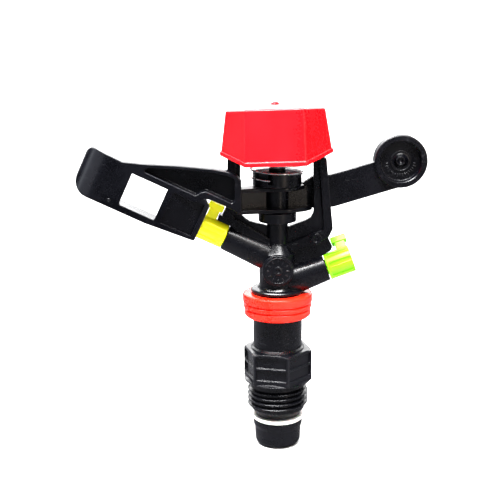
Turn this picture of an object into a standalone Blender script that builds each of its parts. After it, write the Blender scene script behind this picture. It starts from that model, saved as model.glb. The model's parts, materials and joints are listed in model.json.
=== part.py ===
"""Plastic impact sprinkler with a half-inch male pipe thread, a range nozzle and a rear nozzle.

Frame: +Z runs up the axis that the rotor turns on, and z = 0 is the underside of the hexagon,
where the thread ends. The bridge and both nozzles lie in the plane Y = 0, the range nozzle
towards -X. The arm's spoon passes in front (-Y) of the left leg of the bridge and its tail
behind (+Y) the right leg, and it rests against both.

Named sizes are in millimetres; make_mesh turns them into metres.
"""

import math

import bmesh
import bpy
from mathutils import Matrix, Vector

MM = 0.001
GAP = 0.3  # between pieces that touch

# Stationary nipple
THREAD_R = 10.48
THREAD_PITCH = 1.814
THREAD_DEPTH = 1.1
THREAD_TOP = -2.05
THREAD_TURNS = 4.25
HEX_FLATS = 21.0
HEX_TOP = 11.4
HEX_TURN = math.radians(-14)
SKIRT_R = 11.7
SKIRT_TOP = 0.95
POCKET_HALF_WIDTH = 5.3
POCKET_DEPTH = 0.7
SLEEVE_R = 8.4
SLEEVE_TOP = 29.0
SLEEVE_BORE_R = 7.5
SLEEVE_FLOOR = 12.0
NIPPLE_END = -12.7
NIPPLE_END_R = 7.9
NIPPLE_BORE_R = 5.8

# Water tube and what is on it
TUBE_R = 5.5
TUBE_BORE_R = 4.0
TUBE_BOTTOM = -23.2
TUBE_TOP = 36.0
RETAINER_R = 8.5
RETAINER_TOP = -14.6
RETAINER_BOTTOM = -23.8
WASHER_R = 8.8
RING_R = 11.9
RING_BOTTOM = 23.1
RING_TOP = 31.2

# Rotor body
FLANGE_R = 9.0
FLANGE_BOTTOM = 31.5
FLANGE_TOP = 32.8
TRUNK_R = 6.2
TRUNK_TOP = 46.0
SHAFT_BOSS_R = 3.6
SHAFT_BOSS_BOTTOM = 48.0
SHAFT_BOSS_TOP = 55.7
FACE_BOSS_R = 6.0
FACE_BOSS_Z = 40.2
FACE_BOSS_FRONT = -7.2
BRIDGE_HALF_DEPTH = 2.5
WEB_HALF_DEPTH = 1.0
CROSSBAR_BOTTOM = 84.5
CROSSBAR_TOP = 89.0
SPRING_BOSS_R = 7.4
SPRING_BOSS_BOTTOM = 78.5

# Nozzles and their tubes: the axis leaves X = 0 at this height, at this slope
RANGE_ROOT_Z = 42.4
RANGE_SLOPE = math.radians(25.2)
RANGE_TUBE_R = 4.45
RANGE_TUBE_ROOT_R = 5.05
RANGE_TUBE_LENGTH = 19.4
REAR_ROOT_Z = 33.7
REAR_SLOPE = math.radians(19.8)
REAR_TUBE_R = 4.5
REAR_TUBE_ROOT_R = 5.3
REAR_TUBE_LENGTH = 17.7
RANGE_NOZZLE_R = 4.2
REAR_NOZZLE_R = 4.55
NOZZLE_LENGTH = 8.9
NOZZLE_BORE_R = 2.9
NOZZLE_PLUG_R = 2.6
NOZZLE_PLUG_LENGTH = 5.0
NOZZLE_SEAL_DEPTH = 2.6
NECK_START = 5.0
EAR_START = 4.1
EAR_END = 9.4
EAR_FOOT = 7.0
EAR_TOP = 9.4
EAR_HALF_THICKNESS = 1.4
REAR_EAR_TURN = math.radians(40)

# Arm, its pin and its spring
PIN_R = 1.5
PIN_BOTTOM = 48.4
PIN_TOP = 88.2
BUSH_R = 2.7
COLLAR_R = 6.4
COLLAR_BOTTOM = 56.0
COLLAR_TOP = 59.2
HUB_BOTTOM = 59.5
HUB_TOP = 68.0
HUB_FLANGE = 1.3
HUB_LEFT = -13.6
HUB_R = 3.8
DRUM_R = 8.2
DRUM_TOP = 73.0
ARM_FRONT = -8.0
ARM_BACK = -2.8
POCKET_FLOOR = -4.7
TAIL_FRONT = 2.8
TAIL_BACK = 5.8
SPOON_BACK = 3.0
SPOON_WALL = 1.5
SPOON_START = 28.8
SPOON_END = 73.4
SPOON_BOTTOM = -5.5
SPOON_TOP = 10.3
WINDOW_START = 43.6
WINDOW_END = 56.3
WINDOW_BOTTOM = -3.2
WINDOW_TOP = 8.5
DEFLECTOR_R = 9.0
WEIGHT_X = 41.6
WEIGHT_Z = 75.4
WEIGHT_R = 8.9
WEIGHT_RECESS_R = 6.9
WEIGHT_RECESS = 2.0
WEIGHT_FRONT = 1.4
WEIGHT_BACK = 7.2
TORSION_R = 8.8
TORSION_WIRE_R = 0.35
TORSION_BOTTOM = 70.7
TORSION_TOP = 83.4
TORSION_TURNS = 5
TORSION_END = -108  # azimuth of its lower end, in degrees

# Cap: half sizes of its hexagon to the side corners, to the front corners, and in depth
CAP_BOTTOM_SIZE = (18.65, 9.75, 16.2)
CAP_TOP_SIZE = (16.5, 9.4, 14.4)
CAP_BOTTOM = 76.6
CAP_TOP = 95.05
CAP_WALL = 1.1
CAP_ROOF = 1.5
CAP_CROWN = 0.0064  # fall of the roof for each square millimetre of X
CAP_CORNER_RISE = 2.0
CAP_LIP = 1.5
CAP_LIP_R = 0.35
CAP_NUB_R = 1.3
CAP_NUB_TOP = 95.8
CAP_OFFSET = -0.4
CAP_TILT = math.radians(1.5)
CAP_TURN = math.radians(-2.4)

ROUND = 32  # sides of a round piece
SMALL_ROUND = 20


# ---------------------------------------------------------------- materials


def plastic(name, colour, roughness=0.4, metallic=0.0):
    """A plain material with this colour, made once."""
    found = bpy.data.materials.get(name)
    if found:
        return found
    made = bpy.data.materials.new(name)
    made.use_nodes = True
    shader = made.node_tree.nodes["Principled BSDF"]
    shader.inputs["Base Color"].default_value = (*colour, 1.0)
    shader.inputs["Roughness"].default_value = roughness
    shader.inputs["Metallic"].default_value = metallic
    return made


def black():
    return plastic("black_plastic", (0.02, 0.02, 0.027))


def red():
    return plastic("red_plastic", (0.9, 0.03, 0.05), 0.35)


def steel():
    return plastic("steel", (0.6, 0.6, 0.62), 0.25, 1.0)


# ---------------------------------------------------------------- outlines


def rounded(corners, radii, steps=4):
    """The outline with each corner rounded to its radius. A radius of 0 keeps the corner."""
    if isinstance(radii, (int, float)):
        radii = [radii] * len(corners)
    outline = []
    for index, corner in enumerate(corners):
        here = Vector(corner)
        before = Vector(corners[index - 1]) - here
        after = Vector(corners[(index + 1) % len(corners)]) - here
        half = before.angle(after) / 2
        room = 0.49 * min(before.length, after.length)
        reach = min(radii[index] / math.tan(half), room)
        if reach < 0.02:
            outline.append(tuple(here))
            continue
        radius = reach * math.tan(half)
        inward = (before.normalized() + after.normalized()).normalized()
        centre = here + inward * (radius / math.sin(half))
        first = here + before.normalized() * reach - centre
        last = here + after.normalized() * reach - centre
        swing = first.angle_signed(last)
        for step in range(steps + 1):
            outline.append(tuple(centre + Matrix.Rotation(-swing * step / steps, 2) @ first))
    return outline


def arc(centre, radius, start, end, steps):
    """Points on a circle, angles in degrees."""
    angles = [math.radians(start + (end - start) * i / steps) for i in range(steps + 1)]
    return [(centre[0] + radius * math.cos(a), centre[1] + radius * math.sin(a)) for a in angles]


# ---------------------------------------------------------------- shapes


def make_mesh(name, verts, faces, material, smooth=True):
    """An object from millimetre points, with its faces turned outwards."""
    bm = bmesh.new()
    made = [bm.verts.new(Vector(v) * MM) for v in verts]
    for face in faces:
        bm.faces.new([made[i] for i in face])
    bmesh.ops.recalc_face_normals(bm, faces=bm.faces)
    mesh = bpy.data.meshes.new(name)
    bm.to_mesh(mesh)
    bm.free()
    mesh.materials.append(material)
    if smooth:
        mesh.shade_smooth()
        mesh.set_sharp_from_angle(angle=math.radians(35))
    made_object = bpy.data.objects.new(name, mesh)
    bpy.context.scene.collection.objects.link(made_object)
    return made_object


def turned(name, outline, material, sides=ROUND):
    """A closed (radius, z) outline turned about Z."""
    verts = []
    rings = []
    for radius, z in outline:
        if radius < 1e-6:
            rings.append([len(verts)] * sides)
            verts.append((0, 0, z))
            continue
        ring = []
        for side in range(sides):
            angle = 2 * math.pi * side / sides
            ring.append(len(verts))
            verts.append((radius * math.cos(angle), radius * math.sin(angle), z))
        rings.append(ring)
    faces = []
    for index, ring in enumerate(rings):
        following = rings[(index + 1) % len(rings)]
        for side in range(sides):
            nxt = (side + 1) % sides
            face = [ring[side], ring[nxt], following[nxt], following[side]]
            face = list(dict.fromkeys(face))
            if len(face) > 2:
                faces.append(face)
    return make_mesh(name, verts, faces, material)


def extruded(name, outline, low, high, material, place):
    """A closed outline (a, b) pushed from low to high; place turns (a, b, depth) into x, y, z."""
    count = len(outline)
    verts = [place(a, b, low) for a, b in outline] + [place(a, b, high) for a, b in outline]
    faces = [list(range(count)), list(range(count, 2 * count))]
    for index in range(count):
        nxt = (index + 1) % count
        faces.append([index, nxt, count + nxt, count + index])
    return make_mesh(name, verts, faces, material)


def upright(name, outline, y_low, y_high, material):
    """An outline in X and Z, pushed along Y."""
    return extruded(name, outline, y_low, y_high, material, lambda a, b, depth: (a, depth, b))


def flat(name, outline, z_low, z_high, material):
    """An outline in X and Y, pushed along Z."""
    return extruded(name, outline, z_low, z_high, material, lambda a, b, depth: (a, b, depth))


def block(name, low, high, material):
    corners = [(low[0], low[2]), (high[0], low[2]), (high[0], high[2]), (low[0], high[2])]
    return upright(name, corners, low[1], high[1], material)


def coil(name, radius, wire_r, z_low, z_high, turns, start, material):
    """A closed wire wound about Z between two heights. Negative turns wind it left-handed."""
    steps = int(abs(turns) * 16)
    sides = 5
    verts = []
    faces = []
    for step in range(steps + 1):
        angle = math.radians(start) + 2 * math.pi * turns * step / steps
        height = z_low + (z_high - z_low) * step / steps
        for side in range(sides):
            around = 2 * math.pi * side / sides
            reach = radius + wire_r * math.cos(around)
            lift = height + wire_r * math.sin(around)
            verts.append((reach * math.cos(angle), reach * math.sin(angle), lift))
    for step in range(steps):
        first = step * sides
        for side in range(sides):
            following = (side + 1) % sides
            face = [first + side, first + following]
            face += [first + sides + following, first + sides + side]
            faces.append(face)
    faces.append(list(range(sides)))
    faces.append(list(range(steps * sides, (steps + 1) * sides)))
    return make_mesh(name, verts, faces, material)


def combine(target, tool, operation):
    """A Boolean between two objects. The tool is only a helper, so it is left out of the build."""
    tool.hide_render = True
    tool.display_type = "WIRE"
    modifier = target.modifiers.new(operation.lower(), "BOOLEAN")
    modifier.operation = operation
    modifier.solver = "EXACT"
    modifier.object = tool
    if not tool.parent:
        tool.parent = target
    return target


def add(target, tool):
    return combine(target, tool, "UNION")


def cut(target, tool):
    return combine(target, tool, "DIFFERENCE")


def lay_along(made, root_z, slope, side, distance=0.0, turn=0.0):
    """Points an object's +Z along a nozzle's axis and its +X up and away from the tube's underside."""
    out = Vector((side * math.cos(slope), 0, math.sin(slope)))
    up = Vector((-side * math.sin(slope), 0, math.cos(slope)))
    across = out.cross(up)
    basis = Matrix((up, across, out)).transposed().to_4x4()
    spot = Vector((0, 0, root_z)) + out * distance
    made.matrix_world = Matrix.Translation(spot * MM) @ basis @ Matrix.Rotation(turn, 4, "Z")
    return made


def range_axis(made, distance=0.0):
    return lay_along(made, RANGE_ROOT_Z, RANGE_SLOPE, -1, distance)


def rear_axis(made, distance=0.0, turn=0.0):
    return lay_along(made, REAR_ROOT_Z, REAR_SLOPE, 1, distance, turn)


# ---------------------------------------------------------------- stationary nipple


def thread_ridge():
    """One closed helical ridge, right-handed, with its foot inside the core."""
    root = THREAD_R - THREAD_DEPTH
    foot = THREAD_PITCH * 0.46
    crest = THREAD_PITCH * 0.11
    section = [(root - 0.4, -foot), (THREAD_R, -crest), (THREAD_R, crest), (root - 0.4, foot)]
    per_turn = 20
    steps = int(THREAD_TURNS * per_turn)
    start = THREAD_TOP - THREAD_PITCH * THREAD_TURNS
    verts = []
    faces = []
    for step in range(steps + 1):
        angle = 2 * math.pi * step / per_turn
        fade = min(1.0, (step + 1) / 10, (steps + 1 - step) / 10)
        for reach, lift in section:
            reach = root - 0.4 + (reach - root + 0.4) * fade
            height = start + THREAD_PITCH * step / per_turn + lift * fade
            verts.append((reach * math.cos(angle), reach * math.sin(angle), height))
    for step in range(steps):
        for side in range(4):
            nxt = (side + 1) % 4
            low = step * 4
            high = low + 4
            faces.append([low + side, low + nxt, high + nxt, high + side])
    faces.append([0, 1, 2, 3])
    faces.append([steps * 4 + i for i in range(4)])
    return make_mesh("thread_ridge", verts, faces, black(), smooth=False)


def hexagon(flats, turn):
    radius = flats / 2 / math.cos(math.pi / 6)
    # a flat's middle faces -Y before the turn
    angles = [math.radians(60 * i) + turn for i in range(6)]
    return [(radius * math.cos(a), radius * math.sin(a)) for a in angles]


def hex_pockets():
    """Two shallow pockets in each flat, as one helper of twelve blocks."""
    verts = []
    faces = []
    rows = ((2.2, 5.8), (6.6, 10.3))
    half_width = POCKET_HALF_WIDTH
    floor = HEX_FLATS / 2 - POCKET_DEPTH
    out = HEX_FLATS / 2 + 1.0
    for index in range(6):
        angle = math.radians(30 + 60 * index) + HEX_TURN
        for low, high in rows:
            first = len(verts)
            for reach in (floor, out):
                for across in (-half_width, half_width):
                    for z in (low, high):
                        x = reach * math.cos(angle) - across * math.sin(angle)
                        y = reach * math.sin(angle) + across * math.cos(angle)
                        verts.append((x, y, z))
            for face in ((0, 1, 3, 2), (4, 5, 7, 6), (0, 1, 5, 4), (2, 3, 7, 6), (0, 2, 6, 4), (1, 3, 7, 5)):
                faces.append([first + i for i in face])
    return make_mesh("hex_pockets", verts, faces, black(), smooth=False)


def threaded_nipple():
    """Hexagon, thread and sleeve in one, with the bore that the water tube turns in."""
    core = THREAD_R - THREAD_DEPTH
    outline = [
        (NIPPLE_BORE_R, SLEEVE_FLOOR),
        (NIPPLE_BORE_R, -9.6),
        (7.2, -9.6),
        (7.2, NIPPLE_END),
        (NIPPLE_END_R, NIPPLE_END),
        (NIPPLE_END_R + 0.2, NIPPLE_END + 0.8),
        (core, -10.1),
        (core, -1.0),
        (core, HEX_TOP - 1.0),
        (SLEEVE_R, HEX_TOP - 1.0),
        (SLEEVE_R, SLEEVE_TOP - 0.5),
        (SLEEVE_R - 0.5, SLEEVE_TOP),
        (SLEEVE_BORE_R, SLEEVE_TOP),
        (SLEEVE_BORE_R, SLEEVE_FLOOR),
    ]
    nipple = turned("threaded_nipple", outline, black())
    add(nipple, thread_ridge())
    block_outline = rounded(hexagon(HEX_FLATS, HEX_TURN), 0.5, 2)
    hex_block = flat("hex_block", block_outline, 0, HEX_TOP, black())
    # Turned chamfers take the hexagon's corners down at both ends.
    corner = HEX_FLATS / 2 / math.cos(math.pi / 6)
    chamfers = [(0, -1), (HEX_FLATS / 2, -1), (HEX_FLATS / 2, 0), (corner + 0.1, 0.4)]
    chamfers += [(corner + 0.1, HEX_TOP - 0.8), (HEX_FLATS / 2 + 0.4, HEX_TOP)]
    chamfers += [(HEX_FLATS / 2, HEX_TOP + 1), (0, HEX_TOP + 1)]
    combine(hex_block, turned("hex_chamfers", chamfers, black()), "INTERSECT")
    cut(hex_block, hex_pockets())
    # A round skirt shows below each flat, where it slopes out from under it.
    skirt = [(core - 1.0, 0), (SKIRT_R - 0.25, 0), (SKIRT_R, 0.2), (SKIRT_R, 0.35)]
    skirt += [(HEX_FLATS / 2 - 0.1, SKIRT_TOP), (core - 1.0, SKIRT_TOP)]
    add(hex_block, turned("hex_skirt", skirt, black()))
    hollow = [(0, -2), (core - 0.6, -2), (core - 0.6, HEX_TOP - 2), (SLEEVE_R - 0.4, HEX_TOP - 1.5)]
    hollow += [(SLEEVE_R - 0.4, HEX_TOP + 2), (0, HEX_TOP + 2)]
    cut(hex_block, turned("hex_hollow", hollow, black()))
    return add(nipple, hex_block)


# ---------------------------------------------------------------- water tube, washers, spring


def washer(name, inner, outer, low, high, material):
    edge = min(0.2, (high - low) / 4)
    outline = [(inner, low), (outer, low), (outer, high - edge), (outer - edge, high), (inner, high)]
    return turned(name, outline, material, 24)


def inlet_tube():
    outline = [
        (TUBE_BORE_R, TUBE_BOTTOM),
        (TUBE_R, TUBE_BOTTOM),
        (TUBE_R, TUBE_TOP),
        (TUBE_BORE_R, TUBE_TOP),
    ]
    return turned("inlet_tube", outline, black(), 24)


def tube_retainer():
    """A sleeve fixed to the water tube's lower end, which carries the washers."""
    bore = TUBE_R + 0.15
    outline = [(bore, RETAINER_TOP), (bore, TUBE_BOTTOM - 0.2), (TUBE_BORE_R + 0.1, TUBE_BOTTOM - 0.2)]
    outline += [(TUBE_BORE_R + 0.1, RETAINER_BOTTOM), (5.7, RETAINER_BOTTOM)]
    outline += arc((5.7, RETAINER_BOTTOM + 2.1), 2.1, -80, 0, 4)
    outline += [(RETAINER_R - 0.5, -17.6), (RETAINER_R, -16.2), (RETAINER_R, RETAINER_TOP)]
    return turned("tube_retainer", outline, black())


def washers():
    white = plastic("white_nylon", (0.75, 0.74, 0.72), 0.5)
    rubber = plastic("black_rubber", (0.015, 0.015, 0.015), 0.8)
    inner = TUBE_R + GAP
    washer("thrust_washer", inner, WASHER_R, -14.3, -13.0, white)
    washer("seal_washer", inner, 6.95, -12.6, -11.2, rubber)
    washer("upper_thrust_washer", inner, 6.95, -10.9, -9.9, white)
    washer("lower_spring_washer", inner, 7.2, SLEEVE_FLOOR + GAP, SLEEVE_FLOOR + 1.2, steel())
    washer("upper_spring_washer", inner, 8.3, 29.7, 30.6, steel())


def pressure_spring():
    """The compression spring that holds the rotor up against its washers."""
    return coil("pressure_spring", 6.65, 0.5, 14.05, 28.9, 5.5, 0, steel())


def dust_ring():
    """A stepped ring over the sleeve's top, open below and closed in above to the upper washer."""
    inner = SLEEVE_R + GAP
    outline = [(inner, RING_BOTTOM), (RING_R - 1.2, RING_BOTTOM), (RING_R - 0.55, RING_BOTTOM + 0.6)]
    outline += [(RING_R - 0.5, 25.5), (RING_R - 0.95, 25.9), (RING_R - 0.95, 26.1), (RING_R - 0.25, 26.3)]
    outline += [(RING_R - 0.25, 27.5), (RING_R - 0.7, 27.9), (RING_R - 0.7, 28.1), (RING_R, 28.3)]
    outline += [(RING_R, RING_TOP - 0.8), (RING_R - 0.25, RING_TOP - 0.25), (RING_R - 0.8, RING_TOP)]
    outline += [(inner, RING_TOP)]
    return turned("dust_ring", outline, red(), ROUND)


# ---------------------------------------------------------------- rotor body


def bridge_half(side):
    """One leg with its share of the crossbar and of the sloping bar. side is 1 for the rear side."""
    if side > 0:
        corners = [(-1.0, 43.0), (4.6, 45.6), (17.0, 50.2), (18.6, 53.5), (16.3, 77.2), (14.6, 77.9)]
        corners += [(13.5, CROSSBAR_TOP), (-1.0, CROSSBAR_TOP), (-1.0, CROSSBAR_BOTTOM)]
        corners += [(11.4, CROSSBAR_BOTTOM), (12.3, 79.9), (13.6, 78.9), (15.6, 53.2), (2.2, 48.0)]
        corners += [(-1.0, 46.9)]
        radii = [0, 1, 2.2, 1.5, 0.3, 0.3, 1.2, 0, 0, 1.5, 0.3, 0.3, 1.2, 1, 0]
    else:
        # Its foot carries a lip over the nozzle, clear of the nozzle's ear.
        corners = [(1.0, 43.0), (-6.0, 46.0), (-14.6, 53.7), (-15.7, 54.71), (-20.2, 56.83)]
        corners += [(-19.42, 58.56), (-18.52, 58.24), (-17.0, 61.3), (-16.5, 77.2), (-14.6, 77.9)]
        corners += [(-13.5, CROSSBAR_TOP), (1.0, CROSSBAR_TOP), (1.0, CROSSBAR_BOTTOM)]
        corners += [(-11.4, CROSSBAR_BOTTOM), (-12.3, 79.9), (-13.3, 78.9), (-14.9, 57.6)]
        corners += [(-2.2, 50.0), (1.0, 49.0)]
        radii = [0, 1, 0, 0.3, 0.3, 0.3, 0, 0.5, 0.3, 0.3, 1.2, 0, 0, 1.5, 0.3, 0.3, 1.2, 1, 0]
    outline = rounded(corners, radii, 3)
    half = BRIDGE_HALF_DEPTH + (0.02 if side > 0 else 0.0)
    return upright("bridge_half", outline, -half, half, black())


def bridge_webs(side):
    """Thin webs: inside the leg and down to the bar, and between the bar and the tube."""
    if side > 0:
        inner = [(11.9, 84.8), (12.0, 79.9), (12.2, 60.0), (12.1, 58.6), (11.2, 57.1), (9.2, 56.1)]
        inner += [(7.2, 55.4), (5.2, 54.6), (2.0, 53.4), (2.0, 44.0), (16.2, 52.0), (15.0, 60.0)]
        inner += [(13.2, 84.8)]
        lower = [(3.0, 46.2), (16.9, 50.6), (18.6, 47.0), (18.1, 45.7), (16.2, 44.6), (3.0, 36.0)]
        half = WEB_HALF_DEPTH
    else:
        inner = [(-12.1, 84.8), (-12.2, 79.9), (-12.5, 60.0), (-12.4, 58.6), (-10.7, 56.9)]
        inner += [(-9.3, 56.1), (-7.0, 55.4), (-2.0, 54.0), (-2.0, 44.0), (-14.9, 54.2)]
        inner += [(-15.0, 60.0), (-13.2, 84.8)]
        lower = [(-3.0, 50.0), (-14.4, 56.4), (-14.8, 52.6), (-3.0, 45.0)]
        half = WEB_HALF_DEPTH + 0.02
    webs = upright("inner_web", inner, -half, half, black())
    return webs, upright("lower_web", lower, -half - 0.02, half + 0.02, black())


def rotor_body():
    """Flange, trunk, shaft boss, both nozzle tubes and the bridge, with the water way through them."""
    trunk = [(0, FLANGE_BOTTOM), (FLANGE_R - 0.3, FLANGE_BOTTOM), (FLANGE_R, FLANGE_BOTTOM + 0.3)]
    trunk += [(FLANGE_R, FLANGE_TOP - 0.4), (FLANGE_R - 0.4, FLANGE_TOP), (TRUNK_R + 0.6, FLANGE_TOP)]
    trunk += [(TRUNK_R, FLANGE_TOP + 0.8), (TRUNK_R, TRUNK_TOP - 1.0), (TRUNK_R - 0.8, TRUNK_TOP)]
    trunk += [(SHAFT_BOSS_R + 0.5, SHAFT_BOSS_BOTTOM), (SHAFT_BOSS_R, SHAFT_BOSS_BOTTOM + 0.4)]
    trunk += [(SHAFT_BOSS_R, SHAFT_BOSS_TOP - 0.2), (SHAFT_BOSS_R - 0.2, SHAFT_BOSS_TOP), (0, SHAFT_BOSS_TOP)]
    body = turned("rotor_body", trunk, black())
    boss = [(0, 0), (FACE_BOSS_R, 0), (FACE_BOSS_R, -FACE_BOSS_FRONT - 0.3)]
    boss += [(FACE_BOSS_R - 0.3, -FACE_BOSS_FRONT), (0, -FACE_BOSS_FRONT)]
    face_boss = turned("face_boss", boss, black(), 28)
    turn = Matrix.Rotation(math.radians(90), 4, "X")
    face_boss.matrix_world = Matrix.Translation((0, 0, FACE_BOSS_Z * MM)) @ turn
    add(body, face_boss)
    for side in (-1, 1):
        add(body, bridge_half(side))
        for web in bridge_webs(side):
            add(body, web)
    tube = [(0, 0), (RANGE_TUBE_ROOT_R, 0), (RANGE_TUBE_ROOT_R, 6.0)]
    tube += [(RANGE_TUBE_R, RANGE_TUBE_LENGTH), (0, RANGE_TUBE_LENGTH)]
    add(body, range_axis(turned("range_tube", tube, black(), 24)))
    tube = [(0, 0), (REAR_TUBE_ROOT_R, 0), (REAR_TUBE_ROOT_R, 6.0)]
    tube += [(REAR_TUBE_R, REAR_TUBE_LENGTH), (0, REAR_TUBE_LENGTH)]
    add(body, rear_axis(turned("rear_tube", tube, black(), 24)))
    cut(body, block("below_flange", (-12, -12, 20), (12, 12, FLANGE_BOTTOM + 0.01), black()))
    spring_boss = [(0, SPRING_BOSS_BOTTOM), (SPRING_BOSS_R - 0.6, SPRING_BOSS_BOTTOM)]
    spring_boss += [(SPRING_BOSS_R, SPRING_BOSS_BOTTOM + 0.6), (SPRING_BOSS_R, 86.0), (0, 86.0)]
    add(body, turned("spring_boss", spring_boss, black(), 28))
    knuckle = [(0, -3.6), (1.9, -3.6), (1.9, 3.6), (0, 3.6)]
    knuckle = turned("bar_knuckle", knuckle, black(), 20)
    knuckle.matrix_world = Matrix.Translation((12.9 * MM, 0, 50.2 * MM)) @ turn
    add(body, knuckle)
    bore = [(0, FLANGE_BOTTOM - 1), (TUBE_R + 0.15, FLANGE_BOTTOM - 1), (TUBE_R + 0.15, TUBE_TOP + GAP)]
    bore += [(TUBE_BORE_R, TUBE_TOP + GAP), (TUBE_BORE_R, 43.0), (2.4, 44.4), (0, 44.4)]
    cut(body, turned("water_bore", bore, black(), 28))
    pipe = [(0, 1.5), (NOZZLE_BORE_R, 1.5), (NOZZLE_BORE_R, 25), (0, 25)]
    cut(body, range_axis(turned("range_bore", pipe, black(), 20)))
    cut(body, rear_axis(turned("rear_bore", pipe, black(), 20)))
    pin_hole = [(0, PIN_BOTTOM - GAP), (PIN_R + 0.1, PIN_BOTTOM - GAP), (PIN_R + 0.1, 60), (0, 60)]
    cut(body, turned("pin_hole", pin_hole, black(), SMALL_ROUND))
    top_hole = [(0, 77), (PIN_R + 0.3, 77), (PIN_R + 0.3, 80.0), (BUSH_R + 0.1, 80.0), (BUSH_R + 0.1, 90)]
    cut(body, turned("top_hole", top_hole + [(0, 90)], black(), SMALL_ROUND))
    return body


# ---------------------------------------------------------------- nozzles


def nozzle(name, colour, outer, orifice):
    """A turned nozzle with six grip grooves and an ear, whose plug goes into its tube."""
    material = plastic(name + "_plastic", colour, 0.35)
    inner = orifice + 0.35
    outline = [(inner, -NOZZLE_PLUG_LENGTH), (NOZZLE_PLUG_R - 0.3, -NOZZLE_PLUG_LENGTH)]
    outline += [(NOZZLE_PLUG_R, -NOZZLE_PLUG_LENGTH + 0.3), (NOZZLE_PLUG_R, -NOZZLE_SEAL_DEPTH - 0.6)]
    outline += [(2.05, -NOZZLE_SEAL_DEPTH - 0.6), (2.05, -NOZZLE_SEAL_DEPTH + 0.6)]
    outline += [(NOZZLE_PLUG_R, -NOZZLE_SEAL_DEPTH + 0.6), (NOZZLE_PLUG_R, 0), (outer - 0.3, 0)]
    outline += [(outer, 0.3), (outer, NOZZLE_LENGTH - 0.3), (outer - 0.3, NOZZLE_LENGTH)]
    outline += [(orifice + 1.0, NOZZLE_LENGTH), (orifice, NOZZLE_LENGTH - 1.0)]
    made = turned(name, outline, material, 24)
    for index in range(8):
        angle = math.radians(22.5 + 45 * index)
        if math.cos(angle) > 0.9:
            continue
        low = (outer - 0.5, -0.75, 1.0)
        groove = block("grip_groove", low, (outer + 1, 0.75, 20), material)
        groove.matrix_world = Matrix.Rotation(angle, 4, "Z")
        cut(made, groove)
    # The ear stands on a narrower neck. Local +X is up, and local Z runs with the jet.
    neck = [(outer - 1.2, NECK_START), (EAR_FOOT + 0.5, NECK_START)]
    neck += [(EAR_FOOT + 0.5, NOZZLE_LENGTH - 0.3), (outer - 1.2, NOZZLE_LENGTH - 0.3)]
    half = EAR_HALF_THICKNESS
    add(made, upright("ear_neck", neck, -half + 0.25, half - 0.25, material))
    head = [(EAR_FOOT, EAR_START), (EAR_TOP, EAR_START), (EAR_TOP, EAR_END), (EAR_FOOT, EAR_END)]
    add(made, upright("ear_head", rounded(head, 0.5, 2), -half, half, material))
    return made


def seal(name):
    rubber = plastic("black_rubber", (0.015, 0.015, 0.015), 0.8)
    outline = arc((2.44, 0), 0.3, 0, 300, 5)
    return turned(name, outline, rubber, 20)


def nozzles():
    start = RANGE_TUBE_LENGTH + GAP
    range_axis(nozzle("range_nozzle", (0.95, 0.95, 0.02), RANGE_NOZZLE_R, 1.5), start)
    range_axis(seal("range_nozzle_seal"), start - NOZZLE_SEAL_DEPTH)
    start = REAR_TUBE_LENGTH + GAP
    # The rear ear leans back (+Y), clear of the bridge.
    rear_axis(nozzle("rear_nozzle", (0.4, 0.9, 0.05), REAR_NOZZLE_R, 1.2), start, -REAR_EAR_TURN)
    rear_axis(seal("rear_nozzle_seal"), start - NOZZLE_SEAL_DEPTH)


def stream_straightener():
    """Four vanes on a thin core, in the range tube behind the nozzle's plug."""
    vane = 0.3
    reach = NOZZLE_BORE_R - 0.25
    cross = []
    for index in range(4):
        angle = math.radians(90 * index)
        for along, across in ((vane, -vane), (reach, -vane), (reach, vane)):
            x = along * math.cos(angle) - across * math.sin(angle)
            cross.append((x, along * math.sin(angle) + across * math.cos(angle)))
    made = flat("stream_straightener", cross, 0, 6.5, plastic("grey_nylon", (0.3, 0.3, 0.3), 0.5))
    return range_axis(made, 7.4)


# ---------------------------------------------------------------- arm


def jet_point(s, y, v):
    """A point s along the range jet, at depth y and v across the jet."""
    along = math.cos(RANGE_SLOPE)
    rise = math.sin(RANGE_SLOPE)
    return (-s * along + v * rise, y, RANGE_ROOT_Z + s * rise + v * along)


def jet_plane(name, outline, y_low, y_high):
    """An outline in the jet's own directions, along it and across it, pushed along Y."""
    return extruded(name, outline, y_low, y_high, black(), lambda s, v, depth: jet_point(s, depth, v))


def jet_plan(name, outline, v_low, v_high):
    """An outline along the jet and in Y, pushed across the jet."""
    return extruded(name, outline, v_low, v_high, black(), jet_point)


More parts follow.
